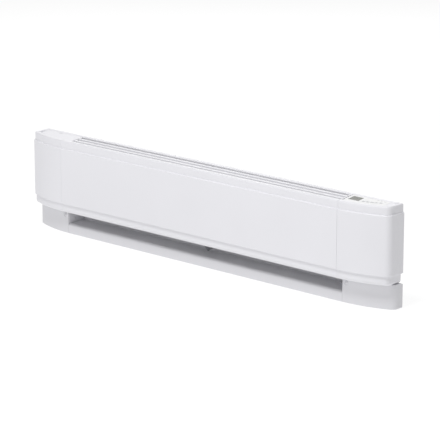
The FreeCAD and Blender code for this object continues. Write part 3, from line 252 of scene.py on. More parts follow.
def bumped(tree, shader, height, strength, distance):
    made = node(tree, "ShaderNodeBump", {"Height": height, "Strength": strength, "Distance": distance})
    tree.links.new(made.outputs["Normal"], shader.inputs["Normal"])


def enamel(name, colour, roughness=0.38, peel=0.10):
    """Baked enamel on steel: a faint orange peel and a slightly uneven gloss."""
    material, tree, shader = new_material(name)
    here = place(tree)
    cloud = noise(tree, here, scale=5.0, detail=2.0)
    tree.links.new(
        tint(tree, spread(tree, cloud, 0, 1), scaled(colour, 0.975), scaled(colour, 1.012)),
        shader.inputs["Base Color"],
    )
    gloss = noise(tree, here, scale=60.0, detail=4.0)
    tree.links.new(spread(tree, gloss, roughness - 0.04, roughness + 0.05), shader.inputs["Roughness"])
    skin = noise(tree, here, scale=620.0, detail=2.0)
    bumped(tree, shader, skin, peel, 0.1 * MM)
    shader.inputs["Specular IOR Level"].default_value = 0.45
    return material


def moulded(name, colour, roughness=0.42, grain=0.12, grain_scale=2600.0):
    """Moulded plastic: a fine even grain with a soft sheen."""
    material, tree, shader = new_material(name)
    here = place(tree)
    cloud = noise(tree, here, scale=7.0, detail=2.0)
    tree.links.new(
        tint(tree, spread(tree, cloud, 0, 1), scaled(colour, 0.97), scaled(colour, 1.01)),
        shader.inputs["Base Color"],
    )
    gloss = noise(tree, here, scale=90.0, detail=3.0)
    tree.links.new(spread(tree, gloss, roughness - 0.05, roughness + 0.05), shader.inputs["Roughness"])
    bumped(tree, shader, noise(tree, here, scale=grain_scale, detail=3.0, roughness=0.6), grain, 0.06 * MM)
    return material


def galvanised(name, colour=(0.50, 0.51, 0.52)):
    """Zinc-coated steel: crystals of slightly different brightness and gloss."""
    material, tree, shader = new_material(name)
    here = place(tree)
    wander = noise(tree, here, scale=120.0, detail=3.0)
    offset = node(tree, "ShaderNodeVectorMath", {0: here}, operation="ADD")
    scatter = node(tree, "ShaderNodeMath", {0: wander, 1: 0.004}, operation="MULTIPLY")
    tree.links.new(scatter.outputs["Value"], offset.inputs[1])
    cells = node(tree, "ShaderNodeTexVoronoi", {"Vector": offset.outputs["Vector"], "Scale": 110.0})
    split = node(tree, "ShaderNodeSeparateColor", {"Color": cells.outputs["Color"]})
    crystals = tint(tree, split.outputs["Red"], scaled(colour, 0.86), scaled(colour, 1.1))
    tree.links.new(crystals, shader.inputs["Base Color"])
    tree.links.new(spread(tree, split.outputs["Green"], 0.34, 0.52, 0, 1), shader.inputs["Roughness"])
    shader.inputs["Metallic"].default_value = 1.0
    bumped(tree, shader, noise(tree, here, scale=900.0, detail=3.0), 0.08, 0.05 * MM)
    return material


def rolled_metal(name, colour, roughness=0.3, along=(6.0, 900.0, 900.0)):
    """Drawn or rolled metal: fine lines along one direction."""
    material, tree, shader = new_material(name)
    lines = noise(tree, place(tree, along), scale=1.0, detail=4.0, roughness=0.6)
    streaks = tint(tree, spread(tree, lines, 0, 1), scaled(colour, 0.9), scaled(colour, 1.06))
    tree.links.new(streaks, shader.inputs["Base Color"])
    tree.links.new(spread(tree, lines, roughness - 0.06, roughness + 0.1), shader.inputs["Roughness"])
    shader.inputs["Metallic"].default_value = 1.0
    bumped(tree, shader, lines, 0.12, 0.04 * MM)
    return material


def dark_display(name, colour):
    """Display cover: smooth dark plastic over a grey-green display."""
    material, tree, shader = new_material(name)
    here = place(tree)
    cloud = spread(tree, noise(tree, here, scale=45.0, detail=2.0), 0, 1)
    tree.links.new(tint(tree, cloud, scaled(colour, 0.9), scaled(colour, 1.12)), shader.inputs["Base Color"])
    gloss = noise(tree, here, scale=400.0, detail=3.0)
    tree.links.new(spread(tree, gloss, 0.2, 0.28), shader.inputs["Roughness"])
    shader.inputs["Specular IOR Level"].default_value = 0.12
    return material


def circuit_board(name):
    """Green solder mask with slightly raised tracks."""
    material, tree, shader = new_material(name)
    here = place(tree)
    tracks = node(
        tree,
        "ShaderNodeTexBrick",
        {"Vector": here, "Scale": 160.0, "Mortar Size": 0.09, "Color1": (0.03, 0.16, 0.07, 1),
         "Color2": (0.035, 0.19, 0.08, 1), "Mortar": (0.05, 0.27, 0.12, 1)},
    )
    tree.links.new(tracks.outputs["Color"], shader.inputs["Base Color"])
    tree.links.new(spread(tree, noise(tree, here, 80.0), 0.25, 0.4), shader.inputs["Roughness"])
    bumped(tree, shader, tracks.outputs["Fac"], 0.3, 0.05 * MM)
    return material


def make_materials():
    white = (0.76, 0.757, 0.80)
    # The base's white is the body's white darkened: painted shade for the base, its caps and the inlet's
    # floor, which sit under the casing's overhang.
    base_white_painted_shade = (0.68, 0.677, 0.715)
    return {
        "enamel_white": enamel("enamel_white", white),
        "enamel_base_painted_shade": enamel("enamel_base_painted_shade", base_white_painted_shade, 0.45, 0.12),
        "moulded_white": moulded("moulded_white", white),
        "moulded_base_painted_shade": moulded("moulded_base_painted_shade", base_white_painted_shade, 0.45),
        "overlay_film": moulded("overlay_film", (0.75, 0.75, 0.755), 0.36, 0.05, 4000.0),
        "button_plastic": moulded("button_plastic", (0.62, 0.63, 0.64), 0.4),
        "icon_ink": moulded("icon_ink", (0.05, 0.05, 0.055), 0.5, 0.05),
        "print_ink": moulded("print_ink", (0.16, 0.16, 0.17), 0.5, 0.05),
        "display_cover": dark_display("display_cover", (0.09, 0.093, 0.075)),
        "display_segment": dark_display("display_segment", (0.03, 0.032, 0.026)),
        "display_glass": dark_display("display_glass", (0.12, 0.14, 0.10)),
        "dark_plastic": moulded("dark_plastic", (0.025, 0.025, 0.028), 0.45),
        "relay_plastic": moulded("relay_plastic", (0.03, 0.06, 0.20), 0.35),
        "board_green": circuit_board("board_green"),
        "galvanised": galvanised("galvanised"),
        "zinc_screw": rolled_metal("zinc_screw", (0.62, 0.62, 0.60), 0.32, (300.0, 300.0, 300.0)),
        "fin_aluminium": rolled_metal("fin_aluminium", (0.80, 0.81, 0.82), 0.32, (900.0, 900.0, 8.0)),
        "sheath_steel": rolled_metal("sheath_steel", (0.30, 0.29, 0.28), 0.4, (8.0, 900.0, 900.0)),
        "copper_tube": rolled_metal("copper_tube", (0.72, 0.38, 0.22), 0.3),
        "high_temp_moulding": moulded("high_temp_moulding", (0.66, 0.62, 0.50), 0.5),
        "silicone": moulded("silicone", (0.42, 0.09, 0.06), 0.6, 0.2),
        "lead_black": moulded("lead_black", (0.02, 0.02, 0.02), 0.5, 0.2),
        "lead_red": moulded("lead_red", (0.40, 0.02, 0.02), 0.45, 0.2),
    }


# ---------------------------------------------------------------- mesh helpers

# Edges sharper than these stay crisp in shading, and are rounded.
SMOOTH_ANGLE = math.radians(32)
BEVEL_ANGLE = math.radians(40)


def finish_mesh(bm, name, material, bevel=0.0):
    """Turns a bmesh into an object with smooth shading, crisp flats and rounded edges."""
    bmesh.ops.remove_doubles(bm, verts=bm.verts, dist=1e-6)
    bmesh.ops.recalc_face_normals(bm, faces=bm.faces)
    mesh = bpy.data.meshes.new(name)
    bm.to_mesh(mesh)
    bm.free()
    piece = bpy.data.objects.new(name, mesh)
    bpy.context.scene.collection.objects.link(piece)
    mesh.materials.append(material)
    shade(piece, bevel)
    return piece


def shade(piece, bevel=0.0):
    """Smooth shading that keeps hard edges, with an optional rounding of those edges."""
    if bevel:
        rounding = piece.modifiers.new("edge_rounding", "BEVEL")
        rounding.width = bevel
        rounding.segments = 2
        rounding.limit_method = "ANGLE"
        rounding.angle_limit = BEVEL_ANGLE
        rounding.harden_normals = False
    piece.data.shade_smooth()
    piece.data.set_sharp_from_angle(angle=SMOOTH_ANGLE)
    normals = piece.modifiers.new("flat_normals", "WEIGHTED_NORMAL")
    normals.keep_sharp = True
    normals.weight = 60


def boolean(piece, tools, operation="DIFFERENCE"):
    """Cuts or joins closed meshes into a piece, and removes them."""
    for tool in tools:
        step = piece.modifiers.new("step", "BOOLEAN")
        step.operation = operation
        step.solver = "EXACT"
        step.object = tool
        bpy.context.view_layer.update()
        graph = bpy.context.evaluated_depsgraph_get()
        mesh = bpy.data.meshes.new_from_object(piece.evaluated_get(graph))
        piece.modifiers.remove(step)
        old = piece.data
        piece.data = mesh
        bpy.data.meshes.remove(old)
    for tool in tools:
        bpy.data.objects.remove(tool)


def plain_object(bm, name):
    """An object with no material or shading yet, for use in a boolean."""
    bmesh.ops.recalc_face_normals(bm, faces=bm.faces)
    mesh = bpy.data.meshes.new(name)
    bm.to_mesh(mesh)
    bm.free()
    piece = bpy.data.objects.new(name, mesh)
    bpy.context.scene.collection.objects.link(piece)
    return piece


def prism(outline, depth, matrix=None):
    """A bmesh of an outline in X and Y, raised by depth along Z, then moved by matrix."""
    bm = bmesh.new()
    low = [bm.verts.new((x, y, 0)) for x, y in outline]
    high = [bm.verts.new((x, y, depth)) for x, y in outline]
    bm.faces.new(low[::-1])
    bm.faces.new(high)
    count = len(outline)
    for i in range(count):
        j = (i + 1) % count
        bm.faces.new((low[i], low[j], high[j], high[i]))
    if matrix is not None:
        bmesh.ops.transform(bm, matrix=matrix, verts=bm.verts)
    return bm


def circle(radius, count):
    turn = 2 * math.pi / count
    return [(radius * math.cos(turn * i), radius * math.sin(turn * i)) for i in range(count)]


def drum(centre, axis, radius, length, count):
    """A closed cylinder object that starts at centre and runs along axis."""
    turn = Vector((0, 0, 1)).rotation_difference(Vector(axis)).to_matrix().to_4x4()
    return plain_object(prism(circle(radius, count), length, Matrix.Translation(centre) @ turn), "drum")


def block(low, high):
    """A bmesh box between two corners."""
    outline = [(low[0], low[1]), (high[0], low[1]), (high[0], high[1]), (low[0], high[1])]
    return prism(outline, high[2] - low[2], Matrix.Translation((0, 0, low[2])))


def mirrored_mesh(piece, name):
    """A copy of a piece at the heater's other end, with its modifiers."""
    twin = piece.copy()
    twin.data = piece.data.copy()
    twin.name = name
    twin.data.transform(Matrix.Scale(-1, 4, (1, 0, 0)))
    twin.data.flip_normals()
    bpy.context.scene.collection.objects.link(twin)
    return twin


def bent_sheet(path, radii, thickness, steps=6):
    """Outer and inner lines of a bent sheet, point for point. The sheet lies to the right of its path."""
    outer, inner = [], []
    points = [Vector(p) for p in path]
    for i, corner in enumerate(points):
        into = (corner - points[i - 1]).normalized() if i else None
        out = (points[i + 1] - corner).normalized() if i + 1 < len(points) else None
        first = into or out
        second = out or into
        normal = Vector((first.y, -first.x))
        if first.dot(second) > 0.9999:
            outer.append(corner)
            inner.append(corner + normal * thickness)
            continue
        side = -1 if first.x * second.y - first.y * second.x > 0 else 1
        turn = math.acos(max(-1.0, min(1.0, first.dot(second))))
        centre = corner - first * (radii[i] * math.tan(turn / 2)) + normal * (side * radii[i])
        inner_radius = radii[i] - side * thickness
        next_normal = Vector((second.y, -second.x))
        inner_corner = corner + (normal + next_normal) * (thickness / (1 + normal.dot(next_normal)))
        for k in range(steps + 1):
            swing = Matrix.Rotation(-side * turn * k / steps, 2) @ normal
            outer.append(centre - swing * (side * radii[i]))
            inner.append(centre - swing * (side * inner_radius) if inner_radius > 0 else inner_corner.copy())
    return outer, inner


def swept_sheet(stations, outer, inner, cut_from=None, cut_below=0.0):
    """A bmesh of a bent sheet carried along stations of (point, outward normal), seen from above.

    From station cut_from on, the sheet below height cut_below is left out.
    """
    bm = bmesh.new()
    rows = []
    for point, normal in stations:
        rows.append([
            [bm.verts.new((point.x - normal.x * u, point.y - normal.y * u, v)) for u, v in line]
            for line in (outer, inner)
        ])
    count = len(outer)
    level = cut_below - 1e-6
    cut_index = next(k for k in range(count) if outer[k].y >= level and inner[k].y >= level)
    firsts = [cut_index if cut_from is not None and i >= cut_from else 0 for i in range(len(stations) - 1)]

    def strip(row, start, end):
        for k in range(start, end):
            bm.faces.new((row[0][k], row[0][k + 1], row[1][k + 1], row[1][k]))

    for i, start in enumerate(firsts):
        here, there = rows[i], rows[i + 1]
        for side in (0, 1):
            for k in range(start, count - 1):
                bm.faces.new((here[side][k], there[side][k], there[side][k + 1], here[side][k + 1]))
        for k in (start, count - 1):
            bm.faces.new((here[0][k], here[1][k], there[1][k], there[0][k]))
        if i and start != firsts[i - 1]:
            strip(here, firsts[i - 1], start)
    strip(rows[0], firsts[0], count - 1)
    strip(rows[-1], firsts[-1], count - 1)
    return bm


def straight_stations(half, front, count=STRAIGHT_STEPS):
    """Stations along the straight front."""
    return [(Vector((-half + 2 * half * i / count, front, 0)), Vector((0, -1, 0))) for i in range(count + 1)]


def end_stations(start_x, curve_x, front, arc_steps=22, corner_steps=16):
    """Stations round the right-hand end: long arc, corner, then straight back to the wall."""
    stations = []
    centre = Vector((curve_x, front + END_ARC_RADIUS, 0))
    first = math.asin((start_x - curve_x) / END_ARC_RADIUS)

    def direction(angle):
        return Vector((math.sin(angle), -math.cos(angle), 0))

    for k in range(arc_steps + 1):
        normal = direction(first + (END_ARC_ANGLE - first) * k / arc_steps)
        stations.append((centre + normal * END_ARC_RADIUS, normal))
    corner = centre + direction(END_ARC_ANGLE) * (END_ARC_RADIUS - CORNER_RADIUS)
    for k in range(1, corner_steps + 1):
        normal = direction(END_ARC_ANGLE + (math.pi / 2 - END_ARC_ANGLE) * k / corner_steps)
        stations.append((corner + normal * CORNER_RADIUS, normal))
    end = stations[-1][0]
    for y in (WALL_Y - TRIM_RELIEF_DEPTH, WALL_Y):
        stations.append((Vector((end.x, y, 0)), Vector((1, 0, 0))))
    return stations


# ---------------------------------------------------------------- casing


def casing_section(thickness):
    """Front of the casing: lower band, raised panel, upper band and rolled rim."""
    path = [
        (BAND_RETURN, BAND_BOTTOM),
        (PANEL_RELIEF, BAND_BOTTOM),
        (PANEL_RELIEF, TRIM_RELIEF_TOP),
        (PANEL_RELIEF, PANEL_BOTTOM),
        (0, PANEL_BOTTOM),
        (0, PANEL_TOP),
        (PANEL_RELIEF, PANEL_TOP),
        (PANEL_RELIEF, HEIGHT),
        (RIM_DEPTH, HEIGHT),
        (RIM_DEPTH, HEIGHT - RIM_LIP),
    ]
    radii = [0, BAND_ROUND, 0, PANEL_LEDGE, LOW_STEP_ROUND, STEP_ROUND, PANEL_LEDGE, TOP_ROUND, LIP_ROUND, 0]
    return bent_sheet(path, radii, thickness, 8)


def make_front_panel(materials):
    outer, inner = casing_section(PANEL_SHEET)
    bm = swept_sheet(straight_stations(PANEL_END, FRONT_Y), outer, inner)
    panel = finish_mesh(bm, "front_panel_skin", materials["enamel_white"], EDGE_ROUND)
    return own(panel, "white_enamel", "front_panel")


def make_end_caps(materials):
    outer, inner = casing_section(MOULDING)
    stations = end_stations(CAP_START, SEAM_X, FRONT_Y)
    bm = swept_sheet(stations, outer, inner, len(stations) - 2, TRIM_RELIEF_TOP)
    right = finish_mesh(bm, "right_end_cap_skin", materials["moulded_white"], EDGE_ROUND)
    left = mirrored_mesh(right, "left_end_cap_skin")
    own(right, "white_moulding", "right_end_cap")
    own(left, "white_moulding", "left_end_cap")


def make_base_caps(materials):
    """Wiring covers at the ends of the base, each with a screw in a round recess."""
    path = [
        (BASE_RETURN, 0),
        (0, 0),
        (0, TRIM_RELIEF_BOTTOM),
        (0, BASE_HEIGHT),
        (BASE_TOP_RETURN, BASE_HEIGHT),
    ]
    outer, inner = bent_sheet(path, [0, BASE_FOOT_ROUND, 0, BASE_TOP_ROUND, 0], MOULDING, 8)
    stations = end_stations(CAP_START, SEAM_X - BASE_INSET, BASE_FRONT_Y)
    bm = swept_sheet(stations, outer, inner)
    right = plain_object(bm, "right_base_cap_skin")
    screw_low, screw_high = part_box("base_cap_screws")
    radius = (screw_high.z - screw_low.z) / 2
    centre = Vector((screw_high.x - radius, BASE_FRONT_Y - CUT_REACH, screw_low.z + radius))
    depth = CUT_REACH + SCREW_RECESS_DEPTH
    far = 60 * MM
    start = HALF_LENGTH - TRIM_RELIEF_LENGTH
    near_corner = (start, WALL_Y - TRIM_RELIEF_DEPTH, TRIM_RELIEF_BOTTOM)
    relief = plain_object(block(near_corner, (start + far, WALL_Y + far, far)), "relief")
    boolean(right, [drum(centre, (0, 1, 0), SCREW_RECESS_RADIUS, depth, 64), relief])
    right.data.materials.append(materials["moulded_base_painted_shade"])
    shade(right, EDGE_ROUND)
    left = mirrored_mesh(right, "left_base_cap_skin")
    own(right, "white_moulding", "right_base_cap")
    own(left, "white_moulding", "left_base_cap")


def make_base_tray(materials):
    """Front rail and floor of the air inlet, bent from one sheet."""
    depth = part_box("base_tray")[1].y - BASE_FRONT_Y
    path = [(BASE_FRONT_DEPTH - RAIL_RETURN, 0), (0, 0), (0, FLOOR_Z), (depth, FLOOR_Z)]
    outer, inner = bent_sheet(path, [0, RAIL_FOOT_ROUND, RAIL_TOP_ROUND, 0], PANEL_SHEET, 10)
    bm = swept_sheet(straight_stations(PANEL_END, BASE_FRONT_Y), outer, inner)
    tray = finish_mesh(bm, "base_tray_skin", materials["enamel_base_painted_shade"], EDGE_ROUND)
    own(tray, "base_enamel", "base_tray")


def make_rear_casing(materials):
    """Back plate with its bottom and top flanges, fixing holes and cable entries."""
    plate = rear_plate()
    boolean(plate, rear_flanges(), "UNION")
    boolean(plate, trim_reliefs() + wall_fixings() + cable_entries())
    plate.data.materials.append(materials["enamel_white"])
    shade(plate, PLATE_EDGE_ROUND)
    own(plate, "white_enamel", "rear_casing")


def rear_plate():
    """The flat back, narrower between the end caps' rims and inside the base caps."""
    wide_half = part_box("rear_casing")[1].x
    low_half = HALF_LENGTH - BASE_INSET - MOULDING - PLATE_GAP
    split = BASE_HEIGHT + SEAM_GAP / 2
    right_side = [
        (low_half, 0),
        (low_half, split),
        (wide_half, split),
        (wide_half, SHOULDER),
        (TOP_HALF, SHOULDER),
    ]
    outline = right_side + [(-x, z) for x, z in right_side[::-1]]
    stand = Matrix.Translation((0, WALL_Y, 0)) @ Matrix.Rotation(math.pi / 2, 4, "X")
    return plain_object(prism(outline, CASING_SHEET, stand), "rear_casing_skin")


def rear_flanges():
    """The folded top flange with its closed ends, and the bottom flange with its curved ends."""
    lip_depth = DECK_BACK - DECK_BACK_GAP
    path = [(0, SHOULDER - PLATE_GAP), (0, HEIGHT), (lip_depth, HEIGHT), (lip_depth, HEIGHT - DECK_LIP)]
    outer, inner = bent_sheet(path, [0, DECK_LIP_ROUND, DECK_LIP_ROUND, 0], CASING_SHEET, 6)
    stations = []
    for i in range(STRAIGHT_STEPS + 1):
        x = TOP_HALF - 2 * TOP_HALF * i / STRAIGHT_STEPS
        stations.append((Vector((x, WALL_Y, 0)), Vector((0, 1, 0))))
    flange = plain_object(swept_sheet(stations, outer, inner), "flange")
    foot_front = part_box("rear_casing")[0].y
    foot_corner = (FOOT_HALF, WALL_Y - FOOT_BACK_GAP, CASING_SHEET)
    foot = plain_object(block((-FOOT_HALF, foot_front, 0), foot_corner), "foot")
    parts = [flange, foot, foot_end(1), foot_end(-1)]
    for x in (-TOP_HALF, TOP_HALF - CASING_SHEET):
        near_corner = (x, WALL_Y - lip_depth + EDGE_ROUND, HEIGHT - DECK_LIP)
        far_corner = (x + CASING_SHEET, WALL_Y - EDGE_ROUND, HEIGHT - CASING_SHEET / 2)
        parts.append(plain_object(block(near_corner, far_corner), "flange_end"))
    return parts


def trim_reliefs():
    """Cutters for the notch at each end beside the wall."""
    reach = TRIM_RELIEF_LENGTH
    cutters = []
    for x in (-HALF_LENGTH, HALF_LENGTH - reach):
        low_corner = (x, WALL_Y - reach, TRIM_RELIEF_BOTTOM)
        high_corner = (x + reach, WALL_Y + reach, TRIM_RELIEF_TOP)
        cutters.append(plain_object(block(low_corner, high_corner), "relief"))
    return cutters


def wall_fixings():
    """Cutters for the wall screws' holes."""
    cutters = []
    for x in (-FIXING_X, FIXING_X):
        for z in (FIXING_LOW_Z, FIXING_HIGH_Z):
            cutters.append(drum((x, WALL_Y - CUT_REACH, z), (0, 1, 0), FIXING_RADIUS, 2 * CUT_REACH, 40))
    return cutters


def cable_entries():
    """Cutters for the round cable entries, through the back and the bottom at each end."""
    cutters = []
    for x in (-KNOCKOUT_X, KNOCKOUT_X):
        back = (x, WALL_Y - CUT_REACH, KNOCKOUT_Z)
        bottom = (x, WALL_Y - KNOCKOUT_FROM_WALL, -CUT_REACH)
        cutters.append(drum(back, (0, 1, 0), KNOCKOUT_RADIUS, 2 * CUT_REACH, 72))
        cutters.append(drum(bottom, (0, 0, 1), KNOCKOUT_RADIUS, 2 * CUT_REACH, 72))
    return cutters


def foot_end(side):
    """One end of the bottom flange, which follows the base's curved front."""
    inset = BASE_RETURN + PLATE_GAP
    foot_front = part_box("rear_casing")[0].y
    back_y = WALL_Y - FOOT_BACK_GAP
    start = side * FOOT_END_START
    stations = end_stations(CAP_START, SEAM_X - BASE_INSET, BASE_FRONT_Y)
    front = [(side * (p.x - n.x * inset), max(p.y - n.y * inset, foot_front)) for p, n in stations[:-2]]
    outline = [(start, back_y), (start, front[0][1])] + front + [(front[-1][0], back_y)]
    return plain_object(prism(outline, CASING_SHEET), "foot_end")


def tilt(bm):
    """Turns a bmesh drawn with the level deck about the deck's back edge."""
    pivot = Matrix.Translation((0, WALL_Y - DECK_BACK, DECK_Z))
    turn = pivot @ Matrix.Rotation(DECK_TILT, 4, "X") @ pivot.inverted()
    bmesh.ops.transform(bm, matrix=turn, verts=bm.verts)
    return bm


def make_grille_frame(materials):
    """The outlet's frame: a folded sheet round its opening."""
    front = FRONT_Y + RIM_DEPTH + SEAM_GAP
    back = WALL_Y - DECK_BACK
    foot = DECK_Z - DECK_PLATE - DECK_SKIRT
    under = DECK_Z - DECK_PLATE
    opening = (-GRILLE_HALF, WALL_Y - GRILLE_FRONT, GRILLE_HALF, WALL_Y - GRILLE_BACK)
    outside = (-DECK_HALF, front, DECK_HALF, back)
    rail_face = WALL_Y - GRILLE_BACK + RAIL_FOLD
    inside = (-DECK_HALF + DECK_PLATE, front + DECK_PLATE, DECK_HALF - DECK_PLATE, rail_face)
    levels = [
        (outside, foot),
        (outside, DECK_Z),
        (opening, DECK_Z),
        (opening, under),
        (inside, under),
        (inside, foot),
    ]
    bm = bmesh.new()
    rings = []
    for (a, b, c, d), z in levels:
        rings.append([bm.verts.new((x, y, z)) for x, y in ((a, b), (c, b), (c, d), (a, d))])
    for here, there in zip(rings, rings[1:] + rings[:1]):
        for k in range(4):
            bm.faces.new((here[k], here[(k + 1) % 4], there[(k + 1) % 4], there[k]))
    ring = finish_mesh(tilt(bm), "grille_frame_skin", materials["enamel_white"], FRAME_EDGE_ROUND)
    ring.modifiers["edge_rounding"].segments = 3
    own(ring, "white_enamel", "grille_frame")


def make_louvre_blades(materials):
    """The grille's leaning blades."""
    slot = (GRILLE_FRONT - GRILLE_BACK - BLADE_COUNT * BLADE_WIDTH) / (BLADE_COUNT + 1)
    bm = bmesh.new()
    for i in range(BLADE_COUNT):
        near = WALL_Y - GRILLE_FRONT + slot * (i + 1) + BLADE_WIDTH * i
        far = near + BLADE_WIDTH
        path = [
            (near + BLADE_LEAN, DECK_Z - BLADE_HEIGHT),
            (near, DECK_Z),
            (far, DECK_Z),
            (far + BLADE_LEAN - BLADE_TAPER, DECK_Z - BLADE_HEIGHT),
        ]
        add_bar(bm, path, BLADE_EDGE_ROUND, -GRILLE_HALF, GRILLE_HALF)
    blades = finish_mesh(tilt(bm), "louvre_blades_skin", materials["enamel_white"])
    own(blades, "white_enamel", "louvre_blades")


def add_bar(bm, path, radius, start_x, end_x, steps=5, spans=24):
    """Adds a bar along X. Its section is path, as (y, z) from one foot over the top to the other foot."""
    outline = [Vector(path[0])]
    for i in (1, 2):
        before, corner, after = (Vector(path[i + k]) for k in (-1, 0, 1))
        back = (before - corner).normalized()
        ahead = (after - corner).normalized()
        half = back.angle(ahead) / 2
        centre = corner + (back + ahead).normalized() * (radius / math.sin(half))
        start = corner + back * (radius / math.tan(half)) - centre
        end = corner + ahead * (radius / math.tan(half)) - centre
        total = start.angle_signed(end)
        for k in range(steps + 1):
            outline.append(centre + Matrix.Rotation(-total * k / steps, 2) @ start)
    outline.append(Vector(path[3]))
    rows = []
    for s in range(spans + 1):
        x = start_x + (end_x - start_x) * s / spans
        rows.append([bm.verts.new((x, p.x, p.y)) for p in outline])
    for here, there in zip(rows, rows[1:]):
        for k in range(len(outline)):
            j = (k + 1) % len(outline)
            bm.faces.new((here[k], here[j], there[j], there[k]))
    bm.faces.new(rows[0])
    bm.faces.new(rows[-1][::-1])


# ---------------------------------------------------------------- fasteners


def lathe(profile, count=40):
    """A bmesh turned about Z from (radius, height) points that start and end on the axis."""
    bm = bmesh.new()
    tip = bm.verts.new((0, 0, profile[0][1]))
    tail = bm.verts.new((0, 0, profile[-1][1]))
    rings = []
    for radius, z in profile[1:-1]:
        rings.append([bm.verts.new((x, y, z)) for x, y in circle(radius, count)])
    for k in range(count):
        j = (k + 1) % count
        bm.faces.new((tip, rings[0][k], rings[0][j]))
        bm.faces.new((tail, rings[-1][j], rings[-1][k]))
        for here, there in zip(rings, rings[1:]):
            bm.faces.new((here[k], there[k], there[j], here[j]))
    return bm


def pan_screw(point, axis, head_radius, head_height, shank_radius, length):
    """A pan-head screw with a cross recess. point is under the head, and axis runs along the shank."""
    dome = []
    for k in range(9):
        t = math.pi / 2 * k / 8
        dome.append((head_radius * math.sin(t), head_height * (0.45 + 0.55 * math.cos(t))))
    profile = [(0, dome[0][1])] + dome[1:] + [(head_radius, 0.0), (shank_radius, 0.0)]
    profile += [(shank_radius, -length + shank_radius), (0, -length)]
    body = plain_object(lathe(profile), "screw")
    slots = []
    for turn in (math.pi / 4, -math.pi / 4):
        long, wide = head_radius * 0.55, head_radius * 0.11
        outline = [(-long, -wide), (long, -wide), (long, wide), (-long, wide)]
        lift = Matrix.Translation((0, 0, head_height * 0.35)) @ Matrix.Rotation(turn, 4, "Z")
        slots.append(plain_object(prism(outline, head_height, lift), "slot"))
    boolean(body, slots)
    turn = Vector((0, 0, -1)).rotation_difference(Vector(axis)).to_matrix().to_4x4()
    body.data.transform(Matrix.Translation(point) @ turn)
    return body


def join_pieces(objects):
    """One bmesh from several objects with no modifiers, which are removed."""
    bm = bmesh.new()
    for o in objects:
        bm.from_mesh(o.data)
        bpy.data.objects.remove(o)
    return bm


def make_screws(materials):
    """Visible screws, placed where the CAD has them."""
    plans = (
        # The base caps' screws take the base's darkened white, with its painted shade.
        ("base_cap_screws", (0, 1, 0), 2.0 * MM, "moulded_base_painted_shade", "white_moulding"),
        ("front_panel_screws", (0, 0, 1), 2.2 * MM, "zinc_screw", "zinc_screw"),
        ("end_cap_screws", (0, 0, 1), 0.4 * MM, "zinc_screw", "zinc_screw"),
    )
    for cad, axis, head_height, finish, slot in plans:
        low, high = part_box(cad)
        along = 1 if axis[1] else 2
        across = 2 if axis[1] else 1
        radius = (high[across] - low[across]) / 2
        screws = []
        for side in (-1, 1):
            point = Vector((side * (high.x - radius), 0, 0))
            point[across] = low[across] + radius
            point[along] = low[along] + head_height
            length = high[along] - low[along] - head_height
            screws.append(pan_screw(point, axis, radius, head_height, SHANK_RADIUS, length))
        own(finish_mesh(join_pieces(screws), cad + "_detail", materials[finish]), slot, cad)


# ---------------------------------------------------------------- controls


def plate_at(outline, centre, turn, low, high):
    """A bmesh plate with its outline turned and moved to centre, between two heights on the tilted deck."""
    matrix = Matrix.Translation((centre[0], centre[1], low)) @ Matrix.Rotation(turn, 4, "Z")
    return tilt(prism(outline, high - low, matrix))


def bar_outline(x0, y0, x1, y1, width):
    """A straight stroke between two points."""
    along = Vector((x1 - x0, y1 - y0)).normalized()
    across = Vector((-along.y, along.x)) * (width / 2)
    a, b = Vector((x0, y0)), Vector((x1, y1))
    return [tuple(a - across), tuple(b - across), tuple(b + across), tuple(a + across)]


def arc_strokes(radius, start, end, width, pieces=18):
    """Short plates that make an arc-shaped stroke."""
    outlines = []
    step = (end - start) / pieces
    for k in range(pieces):
        a, b = start + step * k, start + step * (k + 1)
        inner, outer = radius - width / 2, radius + width / 2
        outlines.append([
            (inner * math.cos(a), inner * math.sin(a)), (outer * math.cos(a), outer * math.sin(a)),
            (outer * math.cos(b), outer * math.sin(b)), (inner * math.cos(b), inner * math.sin(b)),
        ])
    return outlines


def icon_strokes(kind, size, width):
    """Outlines of a generic icon about the origin."""
    full = 2 * math.pi
    if kind == "power":
        gap = math.radians(35)
        return arc_strokes(size, math.pi / 2 + gap, math.pi / 2 + full - gap, width) + [
            bar_outline(0, 0.1 * size, 0, 1.25 * size, width)
        ]
    if kind == "mode":
        return [bar_outline(-size, y * size, size, y * size, width) for y in (-0.7, 0, 0.7)]
    if kind == "cooler":
        return [bar_outline(-size, 0, size, 0, width)]
    if kind == "warmer":
        return [bar_outline(-size, 0, size, 0, width), bar_outline(0, -size, 0, size, width)]
    return arc_strokes(size, 0, full, width) + [
        bar_outline(0, 0, 0, 0.6 * size, width), bar_outline(0, 0, 0.5 * size, 0, width)
    ]


def strokes_piece(outlines, centre, turn, low, high, name, material):
    """One piece from several flat strokes."""
    bm = bmesh.new()
    for outline in outlines:
        part = plate_at(outline, centre, turn, low, high)
        mesh = bpy.data.meshes.new("stroke")
        part.to_mesh(mesh)
        part.free()
        bm.from_mesh(mesh)
        bpy.data.meshes.remove(mesh)
    return finish_mesh(bm, name, material)


def make_button_icons(materials):
    """A raised printed icon on each button, which moves with it."""
    radius = END_ARC_RADIUS - BUTTON_INSET
    for i, kind in enumerate(BUTTON_KINDS):
        x = BUTTON_FIRST_X + BUTTON_PITCH * i
        turn = math.asin((x - SEAM_X) / radius)
        centre = (x, FRONT_Y + END_ARC_RADIUS - radius * math.cos(turn))
        icon = strokes_piece(
            icon_strokes(kind, ICON_SIZE, ICON_STROKE), centre, turn,
            BUTTON_Z - INK_SUNK, BUTTON_Z + 0.04 * MM, "icon_" + kind, materials["icon_ink"],
        )
        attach(icon, kind + "_button")


